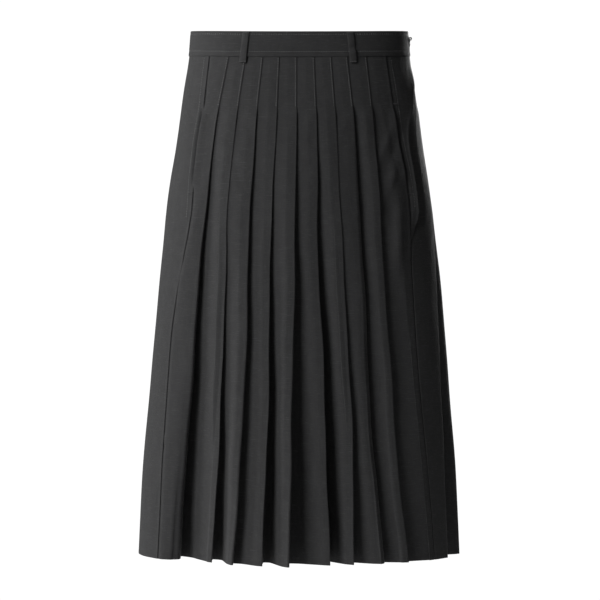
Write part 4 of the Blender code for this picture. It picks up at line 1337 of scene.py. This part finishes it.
class SKIRT_OT_waistband(Operator):
    """Add the waistband: one strip with a rounded top edge, open at the zip, and its two rows of stitches"""

    bl_idname = "skirt.waistband"
    bl_label = "Waistband"

    def execute(self, context):
        sizes = context.scene.skirt_sizes
        figure = Figure(wall_rows(BAND_TOP, BAND_BOTTOM, BAND_ROW_STEP, BAND_ROW_STEP), sizes)
        start, end = band_ends(figure)
        share = np.linspace(0.0, 1.0, BAND_COLUMNS)
        along = mix(start[:, None], end[:, None], share)
        across = np.broadcast_to(share * float(np.mean(end - start)), along.shape)
        section = (along, np.zeros(along.shape), np.zeros(along.shape), across)
        wall = millimetres(sizes.band_wall)
        mesh, area = wall_mesh("waistband_cloth", figure, section, wall,
                               lambda heights, _: band_puff(heights[:, None]))
        band = new_piece("waistband_cloth", mesh, suiting("waistband_suiting"), ["waistband"])
        stitches = self.stitches(sizes, wall)
        return {"FINISHED"}

    def stitches(self, sizes, wall):
        """Both rows of topstitching, on the outside and the inside."""
        pitch = millimetres(sizes.stitch_pitch)
        rows = []
        for height in BAND_ROWS:
            start, end = band_ends(Figure([height], sizes))
            along = np.arange(start[0] + ROW_INSET, end[0] - ROW_INSET, pitch)
            face = wall / 2.0 + float(band_puff(np.array([height]))[0]) + THREAD_REST
            rows.append(round_points(height, along, face, sizes))
            here, forward, outward = round_points(height, along, -wall / 2.0 - THREAD_REST, sizes)
            rows.append((here, forward, -outward))
        return sewing("waistband_stitching", rows, THREAD_SIZE, sewing_thread())


class SKIRT_OT_panels(Operator):
    """Add the pleated front and back panels with the stitches along the pleats' edges"""

    bl_idname = "skirt.panels"
    bl_label = "Pleated panels"

    def execute(self, context):
        sizes = context.scene.skirt_sizes
        panels = (
            ("front", front_section, front_edges, FRONT_ROW_STEPS, FRONT_FLAT, ["pocket_left", "waistband"]),
            ("back", back_section, back_edges, BACK_ROW_STEPS, BACK_FLAT, ["waistband"]),
        )
        stitched = millimetres(sizes.stitch_end)
        wall = millimetres(sizes.cloth_wall)
        for side, make_section, make_edges, steps, flat, carried in panels:
            figure = Figure(wall_rows(BAND_BOTTOM + BAND_TUCK, millimetres(sizes.hem), *steps), sizes)
            name = side + "_panel_cloth"
            mesh, area = wall_mesh(name, figure, make_section(figure, stitched), wall)
            panel = new_piece(name, mesh, suiting(side + "_suiting"), [side + "_panel"])
            stitches = self.stitches(side, make_edges, sizes, stitched, wall)
        return {"FINISHED"}

    def stitches(self, side, make_edges, sizes, stitched, wall):
        """The rows just inside the pleats' folded edges, from the band to where the pleats open."""
        heights = np.arange(PLEAT_TOP - EDGE_ROW_TOP, stitched, -millimetres(sizes.stitch_pitch))
        edges, _ = make_edges(Figure(heights, sizes), stitched)
        face = np.full(heights.shape, wall / 2.0 + THREAD_REST)
        rows = [seam_points(heights, edge - EDGE_ROW_INSET, face, sizes) for edge in edges]
        return sewing(side + "_pleat_stitching", rows, THREAD_SIZE, sewing_thread())


class SKIRT_OT_pockets(Operator):
    """Add the pockets: the left one's side piece and both bags, with the mouths' stitches and tacks"""

    bl_idname = "skirt.pockets"
    bl_label = "Pockets"

    def execute(self, context):
        sizes = context.scene.skirt_sizes
        stitched = millimetres(sizes.stitch_end)
        wall = millimetres(sizes.cloth_wall)
        pockets = (
            ("pocket_left", left_pocket_section, LEFT_MOUTH_END + POCKET_FOOT, LEFT_POCKET_FLAT),
            ("pocket_right", right_pocket_section, RIGHT_MOUTH_END, RIGHT_POCKET_FLAT),
        )
        for name, make_section, foot, flat in pockets:
            rows = wall_rows(BAND_BOTTOM + BAND_TUCK, foot, POCKET_ROW_STEP, POCKET_ROW_STEP)
            figure = Figure(rows, sizes)
            mesh, area = wall_mesh(name + "_cloth", figure, make_section(figure), wall)
            pocket = new_piece(name + "_cloth", mesh, suiting(name + "_suiting"), [name])
            stitches = self.stitches(name, sizes, stitched, wall)
        return {"FINISHED"}

    def stitches(self, name, sizes, stitched, wall):
        """A row beside the mouth, and a tack across at each end of the opening."""
        left = name == "pocket_left"
        side = 1.0 if left else -1.0
        foot = LEFT_ROW_END if left else RIGHT_ROW_END

        def place(heights, offset):
            figure = Figure(heights, sizes)
            if left:
                mouth = smooth_table(LEFT_MOUTH, MOUTH_COLUMNS, "left", heights)
                section = left_pocket_section(figure)
                turn = 0.0
            else:
                share = smooth_table(SIDE_SEAMS, SEAM_COLUMNS, "right_share", heights)
                mouth = share * figure.half_width
                section = back_section(figure, stitched)
                turn = figure.length
            along = figure.front_distance(mouth + side * offset) + turn
            tail = slice(-MOUTH_TAIL, None)
            out = np.array([np.interp(a, places[tail], outs[tail])
                            for a, places, outs in zip(along, section[0], section[1])])
            return along, out + wall / 2.0 + THREAD_REST

        heights = np.arange(PLEAT_TOP - EDGE_ROW_TOP, foot, -millimetres(sizes.stitch_pitch))
        row = seam_points(heights, *place(heights, np.full(heights.shape, MOUTH_ROW)), sizes)
        tacks = []
        for height, reach in zip(MOUTH_TACKS, (LEFT_TACK_REACH if left else MOUTH_ROW, MOUTH_ROW)):
            offsets = np.arange(TACK_INSET, reach, TACK_PITCH)
            level = np.full(offsets.shape, height)
            tacks.append(upright_points(level, *place(level, offsets), sizes))
        return [sewing(name + "_stitching", [row], THREAD_SIZE, sewing_thread()),
                sewing(name + "_tacks", tacks, TACK_SIZE, sewing_thread(*TACK_THREAD))]


class SKIRT_OT_loops(Operator):
    """Add the four belt loops, folded strips arched over the band, with a tack at each end"""

    bl_idname = "skirt.loops"
    bl_label = "Belt loops"

    def execute(self, context):
        sizes = context.scene.skirt_sizes
        width, wall = millimetres(sizes.loop_width), millimetres(sizes.loop_wall)
        cloth = suiting("loop_suiting", LOOP_SHINE)
        thread = sewing_thread(*TACK_THREAD)
        offsets = np.linspace(-width / 2.0, width / 2.0, LOOP_COLUMNS)
        for loop in read_rows(LOOPS, LOOP_NAMES):
            figure = Figure(wall_rows(LOOP_TOP, LOOP_BOTTOM, LOOP_ROW_STEP, LOOP_ROW_STEP), sizes)
            centre, out = loop_line(loop, figure)
            name = loop["name"] + "_cloth"
            mesh, area = wall_mesh(name, figure, strip_section(centre, offsets, out), wall,
                                   lambda _, across: loop_crown(across, width))
            piece = new_piece(name, mesh, cloth, [loop["name"]])
            tacks = self.tacks(loop, sizes, width, wall, thread)
        return {"FINISHED"}

    def tacks(self, loop, sizes, width, wall, thread):
        """Close upright stitches across both ends."""
        offsets = np.arange(-width / 2.0 + TACK_INSET, width / 2.0 - TACK_INSET / 2.0, TACK_PITCH)
        rows = []
        for height in (LOOP_TOP - TACK_RISE, LOOP_BOTTOM + TACK_RISE):
            level = np.full(offsets.shape, height)
            centre, out = loop_line(loop, Figure(level, sizes))
            face = wall / 2.0 + loop_crown(offsets + width / 2.0, width)
            rows.append(upright_points(level, centre + offsets, out + face, sizes))
        return sewing(loop["name"] + "_tacks", rows, TACK_SIZE, thread)


class SKIRT_OT_zip(Operator):
    """Add the side zip's tape and coil, and finish its slider and pull tab"""

    bl_idname = "skirt.zip"
    bl_label = "Side zip"

    def execute(self, context):
        sizes = context.scene.skirt_sizes
        foot = BAND_BOTTOM - millimetres(sizes.zip_length)
        figure = Figure(wall_rows(TAPE_TOP, foot, TAPE_ROW_STEP, TAPE_ROW_STEP), sizes)
        offsets = np.linspace(-TAPE_WIDTH / 2.0, TAPE_WIDTH / 2.0, TAPE_COLUMNS)
        section = strip_section(figure.seams()[1], offsets, TAPE_OUT - valley(figure.heights))
        mesh, area = wall_mesh("zip_tape_cloth", figure, section, TAPE_WALL)
        tape = new_piece("zip_tape_cloth", mesh, woven_tape(), ["zip_tape"])
        coil = self.coil(sizes, foot)
        metal = zip_finish("zip_metal_satin", "metal", *METAL_FINISH)
        for name in ("zip_slider", "zip_pull_tab"):
            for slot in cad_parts[name].material_slots:
                slot.material = metal
        return {"FINISHED"}

    def coil(self, sizes, foot):
        """Two rows of teeth that meet in the middle of the tape's inner face."""
        heights = np.arange(TAPE_TOP - COIL_INSET, foot + COIL_INSET, -COIL_PITCH)
        seam = Figure(heights, sizes).seams()[1]
        out = TAPE_OUT - valley(heights) - TAPE_WALL / 2.0 - COIL_SIZE[2] / 2.0
        rows = []
        for side in (-1.0, 1.0):
            middle = seam + side * COIL_SIZE[0] * COIL_MEET
            here, _, outward = seam_points(heights, middle, out, sizes)
            ahead = seam_points(heights, middle + 1.0, out, sizes)[0]
            rows.append((here, ahead - here, -outward))
        nylon = zip_finish("zip_coil_nylon", "teeth", *NYLON_FINISH)
        return sewing("zip_coil", rows, COIL_SIZE, nylon)


class SKIRT_OT_studio(Operator):
    """Add the floor, the lights, the even surround and the level camera in front"""

    bl_idname = "skirt.studio"
    bl_label = "Studio"

    def execute(self, context):
        studio = context.scene.skirt_studio
        self.floor(studio)
        self.surround(context.scene, studio)
        middle = (0.0, 0.0, studio.aim)
        for lamp in read_rows(LIGHTS, LIGHT_COLUMNS):
            self.light(lamp["name"], lamp["place"], middle, lamp["size"], getattr(studio, lamp["power"]))
        self.camera(context.scene, studio)
        context.scene.view_settings.view_transform = "Standard"
        return {"FINISHED"}

    def floor(self, studio):
        """A round pale floor that fades out: rings of points at rising radii, all at one height."""
        radius = np.linspace(0.0, 1.0, FLOOR_RINGS)[1:, None] * FLOOR_RADIUS / MM
        turn = np.linspace(0.0, 2.0 * math.pi, FLOOR_SIDES, endpoint=False)
        height = np.full((len(radius), FLOOR_SIDES), studio.floor_drop / MM)
        grid = np.stack([radius * np.cos(turn), radius * np.sin(turn), height], axis=-1)
        middle = np.array([[0.0, 0.0, studio.floor_drop / MM]])
        index = np.arange(len(radius) * FLOOR_SIDES).reshape(len(radius), FLOOR_SIDES) + 1
        after = np.roll(index, -1, axis=1)
        quads = np.stack([index[:-1], index[1:], after[1:], after[:-1]], axis=-1).reshape(-1, 4)
        fan = np.stack([np.zeros(FLOOR_SIDES, int), index[0], after[0]], axis=-1)
        mesh = new_mesh("studio_floor", np.concatenate([middle, grid.reshape(-1, 3)]), fan, quads)
        mesh.materials.append(self.floor_material())
        floor = bpy.data.objects.new("studio_floor", mesh)
        bpy.context.scene.collection.objects.link(floor)

    def floor_material(self):
        """Pale matt floor with faint mottling, clear beyond a distance from its middle."""
        graph = Graph("pale_floor")
        place = graph.add("ShaderNodeTexCoord", output="Object")
        flat = graph.add("ShaderNodeVectorMath", {0: place, 1: (1.0, 1.0, 0.0)}, operation="MULTIPLY")
        away = graph.add("ShaderNodeVectorMath", {0: flat}, output="Value", operation="LENGTH")
        shade = graph.noise(place, (6.0, 6.0, 6.0), 3.0, 0.6)
        colour = graph.blend(graph.span(shade, *SOFT_SPAN), *FLOOR_TONES)
        clear = graph.span(away, *FLOOR_CLEAR, 1.0, 0.0, interpolation_type="SMOOTHSTEP")
        return graph.finish(Base_Color=colour, Roughness=graph.span(shade, *SOFT_SPAN, 0.55, 0.65),
                            Alpha=clear)

    def surround(self, scene, studio):
        """White behind the object, and a dimmer even light on it."""
        world = bpy.data.worlds.new("studio_surround")
        world.use_nodes = True
        tree = world.node_tree
        shown = tree.nodes["Background"]
        lit = tree.nodes.new("ShaderNodeBackground")
        for node, strength in ((shown, studio.backdrop), (lit, studio.surround)):
            node.inputs["Color"].default_value = WHITE
            node.inputs["Strength"].default_value = strength
        path = tree.nodes.new("ShaderNodeLightPath")
        choose = tree.nodes.new("ShaderNodeMixShader")
        tree.links.new(path.outputs["Is Camera Ray"], choose.inputs[0])
        tree.links.new(lit.outputs[0], choose.inputs[1])
        tree.links.new(shown.outputs[0], choose.inputs[2])
        tree.links.new(choose.outputs[0], tree.nodes["World Output"].inputs["Surface"])
        scene.world = world

    def light(self, name, place, target, size, power):
        """A square soft light that faces a target."""
        data = bpy.data.lights.new(name, "AREA")
        data.size = size
        data.energy = power
        lamp = bpy.data.objects.new(name, data)
        lamp.location = place
        lamp.rotation_euler = (Vector(target) - Vector(place)).to_track_quat("-Z", "Y").to_euler()
        bpy.context.scene.collection.objects.link(lamp)

    def camera(self, scene, studio):
        """A level camera straight in front."""
        data = bpy.data.cameras.new("front_camera")
        data.sensor_width = SENSOR_WIDTH
        data.lens = studio.lens
        camera = bpy.data.objects.new("front_camera", data)
        camera.location = (studio.shift, -studio.distance, studio.aim)
        camera.rotation_euler = (math.radians(90.0), 0.0, 0.0)
        scene.collection.objects.link(camera)
        scene.camera = camera


PIECES = (SKIRT_OT_waistband, SKIRT_OT_panels, SKIRT_OT_pockets, SKIRT_OT_loops, SKIRT_OT_zip,
          SKIRT_OT_studio)


class SKIRT_PT_pieces(Panel):
    """The skirt's sizes, looks and pieces in the sidebar"""

    bl_idname = "SKIRT_PT_pieces"
    bl_label = "Pleated skirt"
    bl_space_type = "VIEW_3D"
    bl_region_type = "UI"
    bl_category = "Skirt"

    def draw(self, context):
        scene = context.scene
        groups = (("Sizes", scene.skirt_sizes), ("Looks", scene.skirt_looks), ("Studio", scene.skirt_studio))
        for title, group in groups:
            box = self.layout.box()
            box.label(text=title)
            for name in group.__annotations__:
                box.prop(group, name)
        for piece in PIECES:
            self.layout.operator(piece.bl_idname)


CLASSES = (SkirtSizes, SkirtLooks, SkirtStudio) + PIECES + (SKIRT_PT_pieces,)


def register():
    for made in CLASSES:
        bpy.utils.register_class(made)
    bpy.types.Scene.skirt_sizes = PointerProperty(type=SkirtSizes)
    bpy.types.Scene.skirt_looks = PointerProperty(type=SkirtLooks)
    bpy.types.Scene.skirt_studio = PointerProperty(type=SkirtStudio)


def unregister():
    del bpy.types.Scene.skirt_studio
    del bpy.types.Scene.skirt_looks
    del bpy.types.Scene.skirt_sizes
    for made in reversed(CLASSES):
        bpy.utils.unregister_class(made)


def main():
    register()
    for piece in PIECES:
        group, name = piece.bl_idname.split(".")
        getattr(getattr(bpy.ops, group), name)()
    bpy.context.view_layer.update()


if __name__ == "__main__":
    main()
